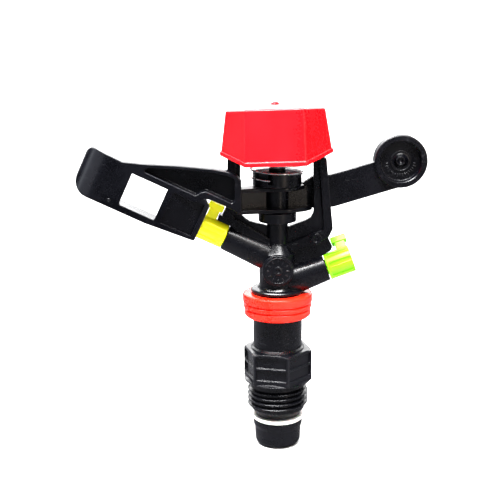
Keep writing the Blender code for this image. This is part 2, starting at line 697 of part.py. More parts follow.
def spoon():
    """The open-backed box that the jet enters: window, slanted vane and curved deflector."""
    side = [(SPOON_START, -4.2), (46, SPOON_BOTTOM), (SPOON_END, SPOON_BOTTOM), (SPOON_END, SPOON_TOP)]
    side += [(54, 10.1), (SPOON_START + 2.0, 10.0), (SPOON_START, 8.4)]
    radii = [0.5, 8, 5.5, 3.7, 2, 0.4, 0.4]
    made = jet_plane("spoon", rounded(side, radii, 5), ARM_FRONT, SPOON_BACK)
    bend = SPOON_END - DEFLECTOR_R
    centre = (bend, ARM_FRONT + DEFLECTOR_R)
    outer = [(bend, ARM_FRONT - 0.5)] + arc(centre, DEFLECTOR_R, -90, 0, 8)[1:]
    outer += [(SPOON_END + 1, centre[1]), (SPOON_END + 1, ARM_FRONT - 0.5)]
    cut(made, jet_plan("outside_of_bend", outer, SPOON_BOTTOM - 1, SPOON_TOP + 2))
    inner_front = ARM_FRONT + SPOON_WALL
    hollow = [(SPOON_START - 1, -4.95), (41.6, inner_front), (bend, inner_front)]
    hollow += arc(centre, DEFLECTOR_R - SPOON_WALL, -90, 0, 8)[1:]
    hollow += [(SPOON_END - SPOON_WALL, SPOON_BACK + 1), (SPOON_START - 1, SPOON_BACK + 1)]
    cut(made, jet_plan("inside_of_spoon", hollow, WINDOW_BOTTOM - 0.6, WINDOW_TOP))
    frame = [(WINDOW_START, WINDOW_BOTTOM), (WINDOW_END, WINDOW_BOTTOM)]
    frame += [(WINDOW_END, WINDOW_TOP - 0.05), (WINDOW_START, WINDOW_TOP - 0.05)]
    cut(made, jet_plane("window", rounded(frame, 0.5, 2), ARM_FRONT - 1, 0.5))
    slant = [(30.4, ARM_FRONT - 1), (41.4, ARM_FRONT - 1), (41.4, -7.4), (30.4, -6.2)]
    cut(made, jet_plan("vane_front", slant, WINDOW_BOTTOM, WINDOW_TOP - 0.1))
    # Near the nozzle only the front plate is left, so that the arm swings clear of it.
    throat = [(SPOON_START - 2, -4.8), (31.5, -4.8), (31.5, SPOON_BACK + 1)]
    throat += [(SPOON_START - 2, SPOON_BACK + 1)]
    cut(made, jet_plan("throat", throat, SPOON_BOTTOM - 2, SPOON_TOP + 2))
    return made


def channel():
    """The beam from the hub to the spoon, with its pocket open to the front."""
    top = [(-12.0, 60.1), (-12.0, 70.5), (-13.2, 72.1), (-15.7, 73.7), (-21.2, 74.8), (-31.5, 75.9)]
    top += [(-44.2, 76.7), (-50.8, 77.4), (-52.8, 76.1), (-32.9, 66.7)]
    under = [(-27.8, 63.9), (-26.0, 64.1), (-24.2, 65.1), (-22.2, 64.6), (-17.5, 62.6), (-15.1, 61.3)]
    under += [(-13.2, 60.1)]
    radii = [0, 0.6, 1.5, 3, 4, 4, 6, 1, 0, 0, 1, 0.8, 0.8, 0.8, 1.5, 1, 0.5]
    beam = upright("channel", rounded(top + under, radii, 3), ARM_FRONT - 0.02, ARM_BACK, black())
    pocket = [(-43.8, 74.3), (-28.2, 66.7), (-27.1, 66.1), (-25.2, 67.2), (-23.6, 67.5), (-21.6, 66.6)]
    pocket += [(-15.0, 63.4), (-14.2, 64.3), (-14.2, 71.5), (-16.0, 72.4), (-21.4, 73.6), (-31.6, 74.7)]
    pocket += [(-42.3, 75.3)]
    radii = [0.3, 1, 0.8, 1, 1, 1, 0.5, 0.3, 0.8, 1.5, 2, 3, 0.3]
    cut(beam, upright("pocket", rounded(pocket, radii, 3), ARM_FRONT - 1, POCKET_FLOOR, black()))
    return beam


def hub_plate(z_low, z_high, right):
    """One flange of the hub, seen from above."""
    corners = [(HUB_LEFT, ARM_FRONT + 0.3), (-6.0, -6.2), (4.0, -5.6), (right - 2.4, -2.6)]
    corners += [(right, 0.6), (right, 5.4), (2.0, 5.4), (-5.0, 4.6), (HUB_LEFT, -2.5)]
    radii = [0.3, 6, 5, 2, 1.5, 0.5, 3, 3, 0.5]
    return flat("hub_plate", rounded(corners, radii, 3), z_low, z_high, black())


def impact_arm():
    hub = [(BUSH_R + 0.1, HUB_BOTTOM), (HUB_R, HUB_BOTTOM), (HUB_R, HUB_TOP + 0.3), (DRUM_R, HUB_TOP + 0.3)]
    hub += [(DRUM_R, DRUM_TOP - 0.4), (DRUM_R - 0.4, DRUM_TOP), (BUSH_R + 0.1, DRUM_TOP)]
    arm = turned("impact_arm", hub, black(), 28)
    add(arm, hub_plate(HUB_BOTTOM, HUB_BOTTOM + HUB_FLANGE, 11.7))
    add(arm, hub_plate(HUB_TOP - HUB_FLANGE, HUB_TOP, 9.2))
    web = [(HUB_LEFT, -4.6), (-4.5, -1.4), (4.0, 1.2), (12.4, 2.9), (12.4, 5.0), (3.0, 3.4)]
    web += [(-4.5, 0.9), (HUB_LEFT, -2.9)]
    web = flat("hub_web", web, HUB_BOTTOM + 0.5, HUB_TOP - 0.5, black())
    add(arm, web)
    add(arm, channel())
    add(arm, spoon())
    tail = [(6.0, HUB_BOTTOM + 0.02), (19.2, 60.0), (42.9, 66.9), (44.0, 76.0), (34.0, 75.6), (18.2, 71.0)]
    tail += [(12.2, 70.6), (8.2, HUB_TOP - 0.02), (6.0, HUB_TOP - 0.02)]
    tail = rounded(tail, [0, 3, 0, 0, 1, 2, 2, 1, 0], 3)
    add(arm, upright("tail", tail, TAIL_FRONT, TAIL_BACK, black()))
    turn = Matrix.Rotation(math.radians(-90), 4, "X")
    place = Matrix.Translation((WEIGHT_X * MM, 0, WEIGHT_Z * MM)) @ turn
    disc = [(0, WEIGHT_FRONT), (WEIGHT_R - 0.5, WEIGHT_FRONT), (WEIGHT_R, WEIGHT_FRONT + 0.5)]
    disc += [(WEIGHT_R, WEIGHT_BACK - 0.5), (WEIGHT_R - 0.5, WEIGHT_BACK), (0, WEIGHT_BACK)]
    disc = turned("weight", disc, black(), ROUND)
    disc.matrix_world = place
    add(arm, disc)
    dish = [(0, 0), (WEIGHT_RECESS_R + 0.6, 0), (WEIGHT_RECESS_R + 0.3, WEIGHT_FRONT)]
    dish += [(WEIGHT_RECESS_R, WEIGHT_FRONT + 0.3), (WEIGHT_RECESS_R - 0.3, WEIGHT_FRONT + WEIGHT_RECESS)]
    dish += [(0, WEIGHT_FRONT + WEIGHT_RECESS)]
    dish = turned("dish", dish, black(), ROUND)
    dish.matrix_world = place
    cut(arm, dish)
    # The drum's slot takes the spring's lower end. The hub's bore goes right through.
    slot = block("spring_slot", (4.6, -0.8, 69.4), (9.0, 0.8, 74.0), black())
    slot.matrix_world = Matrix.Rotation(math.radians(TORSION_END), 4, "Z")
    cut(arm, slot)
    bore = [(0, HUB_BOTTOM - 1), (BUSH_R + 0.1, HUB_BOTTOM - 1), (BUSH_R + 0.1, DRUM_TOP + 1)]
    bore += [(0, DRUM_TOP + 1)]
    return cut(arm, turned("hub_bore", bore, black(), SMALL_ROUND))


def shaft_pieces():
    nylon = plastic("bush_nylon", (0.5, 0.5, 0.48), 0.45)
    pin = [(0, PIN_BOTTOM), (PIN_R - 0.3, PIN_BOTTOM), (PIN_R, PIN_BOTTOM + 0.3), (PIN_R, PIN_TOP - 0.3)]
    turned("fulcrum_pin", pin + [(PIN_R - 0.3, PIN_TOP), (0, PIN_TOP)], steel(), SMALL_ROUND)
    hole = PIN_R + 0.08
    for name, low, high in (
        ("lower_arm_bush", HUB_BOTTOM + 0.1, HUB_BOTTOM + 4.0),
        ("upper_arm_bush", DRUM_TOP - 4.1, DRUM_TOP - 0.1),
        ("pin_top_bush", 80.3, 87.6),
    ):
        outline = [(hole, low), (BUSH_R, low), (BUSH_R, high), (hole, high)]
        turned(name, outline, nylon, SMALL_ROUND)
    washer("arm_thrust_collar", hole, COLLAR_R, COLLAR_BOTTOM, COLLAR_TOP, black())


def torsion_spring():
    """The spring that brings the arm back, between the drum's slot and the boss under the crossbar."""
    heights = (TORSION_BOTTOM, TORSION_TOP)
    turns = -TORSION_TURNS
    return coil("torsion_spring", TORSION_R, TORSION_WIRE_R, *heights, turns, TORSION_END, steel())


# ---------------------------------------------------------------- cap


def cap_ring(z, inset, extra):
    """The cap's outline in X and Y at a height, moved in by inset and out by extra."""
    share = (z - CAP_BOTTOM) / (CAP_TOP - CAP_BOTTOM)
    side, front, depth = [a + (b - a) * share for a, b in zip(CAP_BOTTOM_SIZE, CAP_TOP_SIZE)]
    slant = (side - front) / depth
    side += (extra - inset) * math.hypot(1, slant)
    depth += extra - inset
    front = side - slant * depth
    corners = [(side, 0), (front, depth), (-front, depth), (-side, 0), (-front, -depth), (front, -depth)]
    return rounded(corners, 1.0, 3)


def cap_level(z, inset, extra, rise, crown):
    """A ring of points: rise lifts it towards the side corners, and crown lowers it away from X = 0."""
    flat_part = CAP_BOTTOM_SIZE[1]
    slope = rise * CAP_CORNER_RISE / (CAP_BOTTOM_SIZE[0] - flat_part)
    ring = []
    for x, y in cap_ring(z, inset, extra):
        ring.append((x, y, z + slope * max(0.0, abs(x) - flat_part) - crown * CAP_CROWN * x * x))
    return ring


def cap_lid(z, inset, share):
    """A ring of the roof, inside the cap's edge by share."""
    ring = []
    for x, y in cap_ring(z, inset, 0.0):
        x *= share
        ring.append((x, y * share, z - CAP_CROWN * x * x))
    return ring


def bridge_cap():
    """The six-sided cover of the bridge's top: its rim rises and its roof falls to the side corners."""
    inside = CAP_TOP - CAP_ROOF
    levels = [cap_level(CAP_BOTTOM, 0, CAP_LIP_R - 0.15, 1, 0)]
    levels += [cap_level(CAP_BOTTOM + 0.3, 0, CAP_LIP_R, 1, 0)]
    levels += [cap_level(CAP_BOTTOM + CAP_LIP - 0.2, 0, CAP_LIP_R, 1, 0)]
    levels += [cap_level(CAP_BOTTOM + CAP_LIP, 0, 0, 1, 0)]
    levels += [cap_level(CAP_TOP - 0.5, 0, 0, 0, 1), cap_level(CAP_TOP - 0.12, 0.15, 0, 0, 1)]
    levels += [cap_level(CAP_TOP, 0.5, 0, 0, 1), cap_lid(CAP_TOP, 0.5, 0.7), cap_lid(CAP_TOP, 0.5, 0.35)]
    outer = len(levels)
    levels += [cap_lid(inside, CAP_WALL, 0.35), cap_lid(inside, CAP_WALL, 0.7)]
    levels += [cap_level(inside, CAP_WALL, 0, 0, 1), cap_level(CAP_BOTTOM + 2, CAP_WALL, 0, 1, 0)]
    levels += [cap_level(CAP_BOTTOM, CAP_WALL, 0, 1, 0)]
    count = len(levels[0])
    verts = [point for ring in levels for point in ring]
    faces = []
    for ring in range(len(levels)):
        if ring == outer - 1:
            continue
        low = ring * count
        high = (ring + 1) % len(levels) * count
        for i in range(count):
            following = (i + 1) % count
            faces.append([low + i, low + following, high + following])
            faces.append([low + i, high + following, high + i])
    for ring, z in ((outer - 1, CAP_TOP), (outer, inside)):
        centre = len(verts)
        verts.append((0, 0, z))
        faces += [[ring * count + i, ring * count + (i + 1) % count, centre] for i in range(count)]
    cap = make_mesh("bridge_cap", verts, faces, red())
    nub = [(0, CAP_TOP - 1), (CAP_NUB_R, CAP_TOP - 1), (CAP_NUB_R, CAP_NUB_TOP - 0.3)]
    nub += [(CAP_NUB_R - 0.3, CAP_NUB_TOP), (0, CAP_NUB_TOP)]
    add(cap, turned("cap_nub", nub, red(), 16))
    pivot = Vector((0, 0, (CAP_BOTTOM + CAP_TOP) / 2)) * MM
    turn = Matrix.Rotation(-CAP_TILT, 4, "Y") @ Matrix.Rotation(CAP_TURN, 4, "Z")
    shift = Vector((CAP_OFFSET * MM, 0, 0))
    cap.matrix_world = Matrix.Translation(pivot + shift) @ turn @ Matrix.Translation(-pivot)
    return cap


def main():
    for old in list(bpy.data.objects):
        bpy.data.objects.remove(old, do_unlink=True)
    threaded_nipple()
    inlet_tube()
    tube_retainer()
    washers()
    pressure_spring()
    dust_ring()
    rotor_body()
    nozzles()
    stream_straightener()
    impact_arm()
    shaft_pieces()
    torsion_spring()
    bridge_cap()


main()
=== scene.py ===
"""The looks of a plastic impact sprinkler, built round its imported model.

+Z runs up the axis the rotor turns on and z = 0 is the underside of the hexagon. Sizes in the
outlines are in millimetres; make_mesh turns them into metres.
"""

import json
import math
import bmesh
import bpy
from mathutils import Matrix, Vector


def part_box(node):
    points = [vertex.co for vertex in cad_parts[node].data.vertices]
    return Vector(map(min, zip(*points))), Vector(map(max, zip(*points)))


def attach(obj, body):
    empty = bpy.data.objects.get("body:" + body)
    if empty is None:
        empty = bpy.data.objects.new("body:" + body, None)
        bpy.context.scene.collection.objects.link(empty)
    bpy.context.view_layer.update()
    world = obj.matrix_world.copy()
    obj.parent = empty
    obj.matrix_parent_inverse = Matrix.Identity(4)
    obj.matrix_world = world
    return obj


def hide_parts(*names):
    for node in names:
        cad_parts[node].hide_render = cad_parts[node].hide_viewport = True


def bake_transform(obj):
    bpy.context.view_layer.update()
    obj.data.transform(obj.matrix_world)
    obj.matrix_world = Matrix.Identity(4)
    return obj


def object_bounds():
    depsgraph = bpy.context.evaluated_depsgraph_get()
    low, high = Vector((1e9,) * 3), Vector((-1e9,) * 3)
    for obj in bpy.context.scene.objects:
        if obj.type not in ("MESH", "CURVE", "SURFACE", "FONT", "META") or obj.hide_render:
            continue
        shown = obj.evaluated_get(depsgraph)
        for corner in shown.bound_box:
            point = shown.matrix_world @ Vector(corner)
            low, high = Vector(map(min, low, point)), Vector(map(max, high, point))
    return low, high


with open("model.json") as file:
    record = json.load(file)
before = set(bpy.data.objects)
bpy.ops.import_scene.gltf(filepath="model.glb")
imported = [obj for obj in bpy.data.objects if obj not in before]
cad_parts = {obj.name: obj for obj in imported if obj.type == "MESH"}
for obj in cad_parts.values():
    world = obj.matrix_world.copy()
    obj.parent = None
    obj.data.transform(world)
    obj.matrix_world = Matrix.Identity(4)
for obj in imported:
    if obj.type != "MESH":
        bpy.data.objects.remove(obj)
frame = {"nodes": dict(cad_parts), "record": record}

CAD_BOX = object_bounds()
MM = 0.001
WELD = 0.002 * MM  # points closer than this are merged
RIM = 0.3  # rounding of a moulded edge
SHARP = math.radians(38)

# Nipple
HEX_FLATS = 21.0
HEX_TOP = 11.4
HEX_TURN = math.radians(-14)
HEX_POCKETS = ((2.2, 5.8), (6.6, 10.3))  # bottom and top of each
POCKET_HALF_WIDTH = 5.3
POCKET_DEPTH = 0.7
SLEEVE_R = 8.4
SLEEVE_BORE_R = 7.5
SLEEVE_FLOOR = 12.0
NIPPLE_BORE_R = 5.8
THREAD_R = 10.48
THREAD_CORE_R = THREAD_R - 1.1
THREAD_PITCH = 1.814
THREAD_TURNS = 4.25
THREAD_TOP = -2.05

# The jets: each axis leaves X = 0 at this height, at this slope
RANGE_ROOT_Z = 42.4
RANGE_SLOPE = math.radians(25.2)
RANGE_TUBE_END = 19.4
REAR_ROOT_Z = 33.7
REAR_SLOPE = math.radians(19.8)
REAR_TUBE_END = 17.7
NOZZLE_GAP = 0.3
NOZZLE_LENGTH = 8.9
NOZZLE_PLUG_R = 2.6
REAR_NOZZLE_TURN = math.radians(-40)

# Rotor body
CROSSBAR_BOTTOM = 84.5
BRIDGE_HALF_DEPTH = 2.5
WEB_HALF_DEPTH = 1.0
LAP = 0.02  # keeps two joined shapes from sharing a plane
FACE_BOSS_R = 5.3
FACE_BOSS_Z = 40.2
FACE_BOSS_DEPTH = 7.2
TICK_HALF_WIDTH = 0.16

# Arm
ARM_FRONT = -8.0
ARM_BACK = -2.8
ARM_BOTTOM = 59.5
HUB_LEFT = -13.6
HUB_TOP = 68.0
HUB_BORE_R = 2.8
DRUM_TOP = 73.0
SLOT_AZIMUTH = -108.0
WEIGHT_X = 41.6
WEIGHT_Z = 75.4

# Torsion spring
COIL_R = 8.8
COIL_TURNS = 5
COIL_BOTTOM = 70.7
COIL_TOP = 83.4
COIL_WIRE_R = 0.33

# The cap's half sizes to its side corners, to its front corners, and in depth
CAP_FOOT = (18.65, 9.75, 16.2)
CAP_HEAD = (16.5, 9.4, 14.4)
CAP_BOTTOM = 76.6
CAP_TOP = 95.05
CAP_WALL = 1.1
CAP_ROOF = 1.5
CAP_CROWN = 0.0064  # how fast the roof falls away, by the square of X
CAP_EDGE_RISE = 2.0  # of the lower edge, from the front corners to the side ones
CAP_TILT = -1.5
CAP_TURN = -2.4
CAP_SHIFT = -0.4

# Camera, in metres and degrees
CAMERA_SPOT = (-0.0093, -0.3215, 0.1201)
CAMERA_AIM = (-0.0093, 0, 0.0459)
CAMERA_LENS = 69.9
CAMERA_ROLL = -0.5


# ---------------------------------------------------------------- the frame's own numbers


def span(node):
    """Lowest and highest corner of a CAD node in millimetres."""
    low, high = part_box(node)
    return low / MM, high / MM


RETAINER_LOW, RETAINER_HIGH = span("tube_retainer")
NIPPLE_LOW, NIPPLE_HIGH = span("threaded_nipple")
WASHER_LOW, WASHER_HIGH = span("thrust_washer")
RING_LOW, RING_HIGH = span("dust_ring")
BODY_LOW, BODY_HIGH = span("rotor_body")
PIN_LOW, PIN_HIGH = span("fulcrum_pin")
COLLAR_LOW, COLLAR_HIGH = span("arm_thrust_collar")


# ---------------------------------------------------------------- materials


class Look:
    """A node material being built: short names for what every look here needs."""

    def __init__(self, name):
        self.material = bpy.data.materials.new(name)
        self.material.use_nodes = True
        self.tree = self.material.node_tree
        self.shader = self.tree.nodes["Principled BSDF"]
        self.place = self.node("ShaderNodeTexCoord").outputs["Object"]

    def node(self, kind, **values):
        made = self.tree.nodes.new(kind)
        for key, value in values.items():
            setattr(made, key, value)
        return made

    def link(self, source, target):
        self.tree.links.new(source, target)

    def noise(self, scale, detail, stretch=None, turn=(0, 0, 0)):
        """A noise value. stretch draws it out along an axis, as scratches and flow lines are."""
        made = self.node("ShaderNodeTexNoise")
        made.inputs["Scale"].default_value = scale
        made.inputs["Detail"].default_value = detail
        place = self.place
        if stretch:
            mapping = self.node("ShaderNodeMapping")
            mapping.inputs["Scale"].default_value = stretch
            mapping.inputs["Rotation"].default_value = turn
            self.link(place, mapping.inputs["Vector"])
            place = mapping.outputs["Vector"]
        self.link(place, made.inputs["Vector"])
        return made.outputs["Fac"]

    def ramp(self, value, *stops):
        """value run through (position, grey or colour) stops."""
        made = self.node("ShaderNodeValToRGB")
        while len(made.color_ramp.elements) < len(stops):
            made.color_ramp.elements.new(1.0)
        for element, (position, shade) in zip(made.color_ramp.elements, stops):
            element.position = position
            element.color = (shade, shade, shade, 1) if isinstance(shade, float) else (*shade, 1)
        self.link(value, made.inputs["Fac"])
        return made.outputs["Color"]

    def remap(self, value, low, high, start=0.3, end=0.7):
        """value stretched from start..end to low..high."""
        made = self.node("ShaderNodeMapRange")
        made.inputs["From Min"].default_value = start
        made.inputs["From Max"].default_value = end
        made.inputs["To Min"].default_value = low
        made.inputs["To Max"].default_value = high
        self.link(value, made.inputs["Value"])
        return made.outputs["Result"]

    def mix(self, factor, first, second):
        """The colour first, turning into the plain colour second as factor goes from 0 to 1."""
        made = self.node("ShaderNodeMix", data_type="RGBA")
        colours = {socket.name: socket for socket in made.inputs if socket.type == "RGBA"}
        self.link(factor, made.inputs["Factor"])
        self.link(first, colours["A"])
        colours["B"].default_value = (*second, 1)
        return next(socket for socket in made.outputs if socket.type == "RGBA")

    def maths(self, operation, first, second):
        made = self.node("ShaderNodeMath", operation=operation)
        self.link(first, made.inputs[0])
        if isinstance(second, float):
            made.inputs[1].default_value = second
        else:
            self.link(second, made.inputs[1])
        return made.outputs["Value"]

    def add(self, first, second):
        return self.maths("ADD", first, second)

    def scaled(self, value, factor):
        return self.maths("MULTIPLY", value, factor)

    def edges(self):
        """1 on the mesh's raised edges."""
        geometry = self.node("ShaderNodeNewGeometry")
        return self.remap(geometry.outputs["Pointiness"], 0.0, 1.0, 0.54, 0.62)

    def bump(self, height, distance, strength, soft=None):
        """The surface's relief. soft rounds the creases between joined shapes."""
        made = self.node("ShaderNodeBump")
        made.inputs["Strength"].default_value = strength
        made.inputs["Distance"].default_value = distance
        self.link(height, made.inputs["Height"])
        if soft:
            bevel = self.node("ShaderNodeBevel", samples=4)
            bevel.inputs["Radius"].default_value = soft
            self.link(bevel.outputs["Normal"], made.inputs["Normal"])
        self.link(made.outputs["Normal"], self.shader.inputs["Normal"])

    def set(self, **values):
        for key, value in values.items():
            socket = self.shader.inputs[key.replace("_", " ")]
            if isinstance(value, (int, float, tuple)):
                socket.default_value = value
            else:
                self.link(value, socket)


def black_plastic():
    """Injection-moulded black: fine spark texture, flow marks, handling scratches, paler rubbed edges."""
    look = Look("black_plastic")
    cloud = look.noise(90, 4)
    colour = look.ramp(cloud, (0.3, (0.0016, 0.0017, 0.003)), (0.7, (0.0045, 0.0047, 0.0075)))
    scratches = look.ramp(look.noise(1, 5, (260, 30, 900), (0.4, 0.7, 0.2)), (0.66, 0.0), (0.72, 1.0))
    colour = look.mix(look.scaled(scratches, 0.3), colour, (0.03, 0.03, 0.034))
    colour = look.mix(look.scaled(look.edges(), 0.3), colour, (0.05, 0.05, 0.055))
    grain = look.noise(2600, 2)
    rough = look.add(look.remap(cloud, 0.23, 0.34), look.remap(grain, -0.03, 0.03))
    rough = look.add(rough, look.scaled(scratches, 0.12))
    look.set(Base_Color=colour, Roughness=rough, Specular_IOR_Level=0.42)
    height = look.add(grain, look.scaled(look.noise(420, 3), 0.8))
    height = look.maths("SUBTRACT", height, look.scaled(scratches, 0.5))
    look.bump(height, 0.00002, 0.45, 0.00022)
    return look.material


def coloured_plastic(name, deep, light, rough, glow):
    """Dyed plastic: slow streaks of dye along the flow, slight orange peel, paler rubbed edges."""
    look = Look(name)
    flow = look.noise(1, 3, (70, 70, 24), (0.2, 0.1, 0))
    colour = look.ramp(flow, (0.3, deep), (0.7, light))
    paler = tuple(min(1.0, c * 0.8 + 0.15) for c in light)
    colour = look.mix(look.scaled(look.edges(), 0.3), colour, paler)
    grain = look.noise(1500, 2)
    look.set(Base_Color=colour, Specular_IOR_Level=0.5)
    look.set(Roughness=look.add(look.remap(flow, *rough), look.remap(grain, -0.02, 0.02)))
    look.set(Subsurface_Weight=glow, Subsurface_Radius=(0.004, 0.002, 0.002), Subsurface_Scale=0.3)
    look.bump(look.add(grain, look.scaled(look.noise(260, 2), 0.6)), 0.000012, 0.3, 0.0002)
    return look.material


def metal():
    """Drawn stainless wire and rod, with fine lengthwise lines and dull patches."""
    look = Look("spring_steel")
    patches = look.noise(160, 4)
    lines = look.noise(1, 4, (3000, 3000, 300))
    look.set(Base_Color=look.ramp(patches, (0.3, (0.5, 0.49, 0.48)), (0.7, (0.74, 0.74, 0.75))))
    rough = look.add(look.remap(patches, 0.16, 0.32), look.remap(lines, -0.04, 0.06))
    look.set(Metallic=1.0, Roughness=rough)
    look.bump(lines, 0.00001, 0.4)
    return look.material


def nylon(name, deep, light):
    """Natural nylon: cloudy, waxy, with fine turning rings."""
    look = Look(name)
    cloud = look.noise(200, 4)
    rings = look.noise(1, 2, (200, 200, 6000))
    look.set(Base_Color=look.ramp(cloud, (0.3, deep), (0.7, light)), Roughness=look.remap(cloud, 0.4, 0.55))
    look.set(Subsurface_Weight=0.1, Subsurface_Scale=0.001)
    look.bump(rings, 0.00002, 0.4)
    return look.material


def rubber():
    """Black seal rubber with a faint grey bloom."""
    look = Look("seal_rubber")
    bloom = look.noise(400, 4)
    look.set(Base_Color=look.ramp(bloom, (0.3, (0.01, 0.01, 0.01)), (0.75, (0.04, 0.04, 0.042))))
    look.set(Roughness=look.remap(bloom, 0.6, 0.85))
    look.bump(look.noise(2500, 3), 0.00003, 0.5)
    return look.material


# Each dyed plastic's deep and light colour, roughness range and subsurface share
DYES = {
    "cap_red": ((0.78, 0.003, 0.008), (0.88, 0.006, 0.014), (0.24, 0.34), 0.1),
    "ring_red": ((0.74, 0.014, 0.004), (0.84, 0.026, 0.01), (0.24, 0.34), 0.1),
    "nozzle_yellow": ((0.88, 0.86, 0.004), (0.95, 0.94, 0.02), (0.26, 0.36), 0.2),
    "nozzle_green": ((0.19, 0.64, 0.003), (0.3, 0.76, 0.01), (0.26, 0.36), 0.15),
}
LOOKS = {name: coloured_plastic(name, *dye) for name, dye in DYES.items()}
LOOKS["black_plastic"] = black_plastic()
LOOKS["washer_white"] = nylon("washer_white", (0.7, 0.68, 0.65), (0.8, 0.78, 0.75))
LOOKS["bush_nylon"] = nylon("bush_nylon", (0.4, 0.4, 0.38), (0.52, 0.52, 0.5))
LOOKS["seal_rubber"] = rubber()
LOOKS["spring_steel"] = metal()


# ---------------------------------------------------------------- outlines


def quarter(steps):
    """The angles of a quarter turn."""
    return [math.pi / 2 * i / steps for i in range(steps + 1)]


def rounded(corners, radii, steps):
    """The outline with each corner rounded to its radius. A radius of 0 keeps the corner."""
    if isinstance(radii, (int, float)):
        radii = [radii] * len(corners)
    outline = []
    for index, corner in enumerate(corners):
        here = Vector(corner)
        before = Vector(corners[index - 1]) - here
        after = Vector(corners[(index + 1) % len(corners)]) - here
        half = before.angle(after) / 2
        room = 0.49 * min(before.length, after.length)  # so that two roundings never meet
        reach = min(radii[index] / math.tan(half), room)
        if reach < 0.02:  # too small to see
            outline.append(tuple(here))
            continue
        radius = reach * math.tan(half)
        inward = (before.normalized() + after.normalized()).normalized()
        centre = here + inward * (radius / math.sin(half))
        first = here + before.normalized() * reach - centre
        last = here + after.normalized() * reach - centre
        swing = first.angle_signed(last)
        for step in range(steps + 1):
            outline.append(tuple(centre + Matrix.Rotation(-swing * step / steps, 2) @ first))
    return outline


def eased(outline, radius=0.22, steps=3):
    """A turned piece's outline with its edges rounded, apart from where it meets the axis."""
    return rounded(outline, [radius if r > 0.001 else 0 for r, z in outline], steps)


def arc(centre, radius, start, end, steps):
    """Points on a circle, angles in degrees."""
    angles = [math.radians(start + (end - start) * i / steps) for i in range(steps + 1)]
    return [(centre[0] + radius * math.cos(a), centre[1] + radius * math.sin(a)) for a in angles]


def moved_out(outline, amount):
    """The closed outline with every side moved outwards by amount."""
    count = len(outline)
    pairs = [(Vector(outline[i - 1]), Vector(outline[i])) for i in range(count)]
    turn = math.copysign(1.0, sum(a.x * b.y - b.x * a.y for a, b in pairs))
    moved = []
    for index, point in enumerate(outline):
        here = Vector(point)
        before = (here - Vector(outline[index - 1])).normalized()
        after = (Vector(outline[(index + 1) % count]) - here).normalized()
        first, second = Vector((before.y, -before.x)), Vector((after.y, -after.x))
        mitre = (first + second) / max(0.5, 1 + first.dot(second))
        moved.append(tuple(here + mitre * turn * amount))
    return moved


def plate(low, high, rim=RIM, steps=3):
    """Depths and offsets of a plate whose two rims are rounded."""
    rims = [(rim * (1 - math.cos(a)), -rim * (1 - math.sin(a))) for a in quarter(steps)]
    return [(low + d, o) for d, o in rims] + [(high - d, o) for d, o in reversed(rims)]


def pocket(face, floor, rim, fillet):
    """Depths and offsets of a cutter for a pocket with a rounded rim and a filleted floor."""
    way = math.copysign(1.0, floor - face)
    start = face - way * 0.01
    profile = [(start - way, rim)]
    profile += [(start + way * rim * (1 - math.cos(a)), rim * (1 - math.sin(a))) for a in quarter(3)]
    profile += [(floor - way * fillet * (1 - math.sin(a)), -fillet * (1 - math.cos(a))) for a in quarter(3)]
    return profile


# ---------------------------------------------------------------- meshes


def make_mesh(name, verts, faces):
    """An object from millimetre points, with its faces turned outwards."""
    bm = bmesh.new()
    made = [bm.verts.new(Vector(v) * MM) for v in verts]
    for face in faces:
        bm.faces.new([made[i] for i in face])
    bmesh.ops.recalc_face_normals(bm, faces=bm.faces)
    mesh = bpy.data.meshes.new(name)
    bm.to_mesh(mesh)
    bm.free()
    made_object = bpy.data.objects.new(name, mesh)
    bpy.context.scene.collection.objects.link(made_object)
    return made_object


def turned(name, outline, sides=96):
    """A closed (radius, z) outline turned about Z."""
    verts, rings = [], []
    for radius, z in outline:
        if radius < 1e-6:  # on the axis: one point for the whole ring
            rings.append([len(verts)] * sides)
            verts.append((0, 0, z))
            continue
        rings.append(list(range(len(verts), len(verts) + sides)))
        for side in range(sides):
            angle = 2 * math.pi * side / sides
            verts.append((radius * math.cos(angle), radius * math.sin(angle), z))
    faces = []
    for index, ring in enumerate(rings):
        following = rings[(index + 1) % len(rings)]
        for side in range(sides):
            nxt = (side + 1) % sides
            face = list(dict.fromkeys([ring[side], ring[nxt], following[nxt], following[side]]))
            if len(face) > 2:
                faces.append(face)
    return make_mesh(name, verts, faces)


def pushed(name, outline, profile, place):
    """A closed outline pushed through its profile's depths; place turns (a, b, depth) into x, y, z."""
    verts = []
    faces = []
    count = len(outline)
    for depth, amount in profile:
        level = moved_out(outline, amount) if amount else outline
        verts += [place(a, b, depth) for a, b in level]
    for ring in range(len(profile) - 1):
        for i in range(count):
            nxt = (i + 1) % count
            low, high = ring * count, (ring + 1) * count
            faces.append([low + i, low + nxt, high + nxt, high + i])
    faces.append(list(range(count)))
    faces.append(list(range((len(profile) - 1) * count, len(profile) * count)))
    return make_mesh(name, verts, faces)


def in_xz(a, b, depth):
    return (a, depth, b)


def in_xy(a, b, depth):
    return (a, b, depth)


def in_jet(s, v, depth):
    """s runs along the range jet, v across it."""
    along, rise = math.cos(RANGE_SLOPE), math.sin(RANGE_SLOPE)
    return (-s * along + v * rise, depth, RANGE_ROOT_Z + s * rise + v * along)


def in_jet_plan(s, y, v):
    return in_jet(s, v, y)


def block(name, low, high):
    """A cuboid between two corners."""
    corners = [(low[0], low[1]), (high[0], low[1]), (high[0], high[1]), (low[0], high[1])]
    return pushed(name, corners, [(low[2], 0), (high[2], 0)], in_xy)


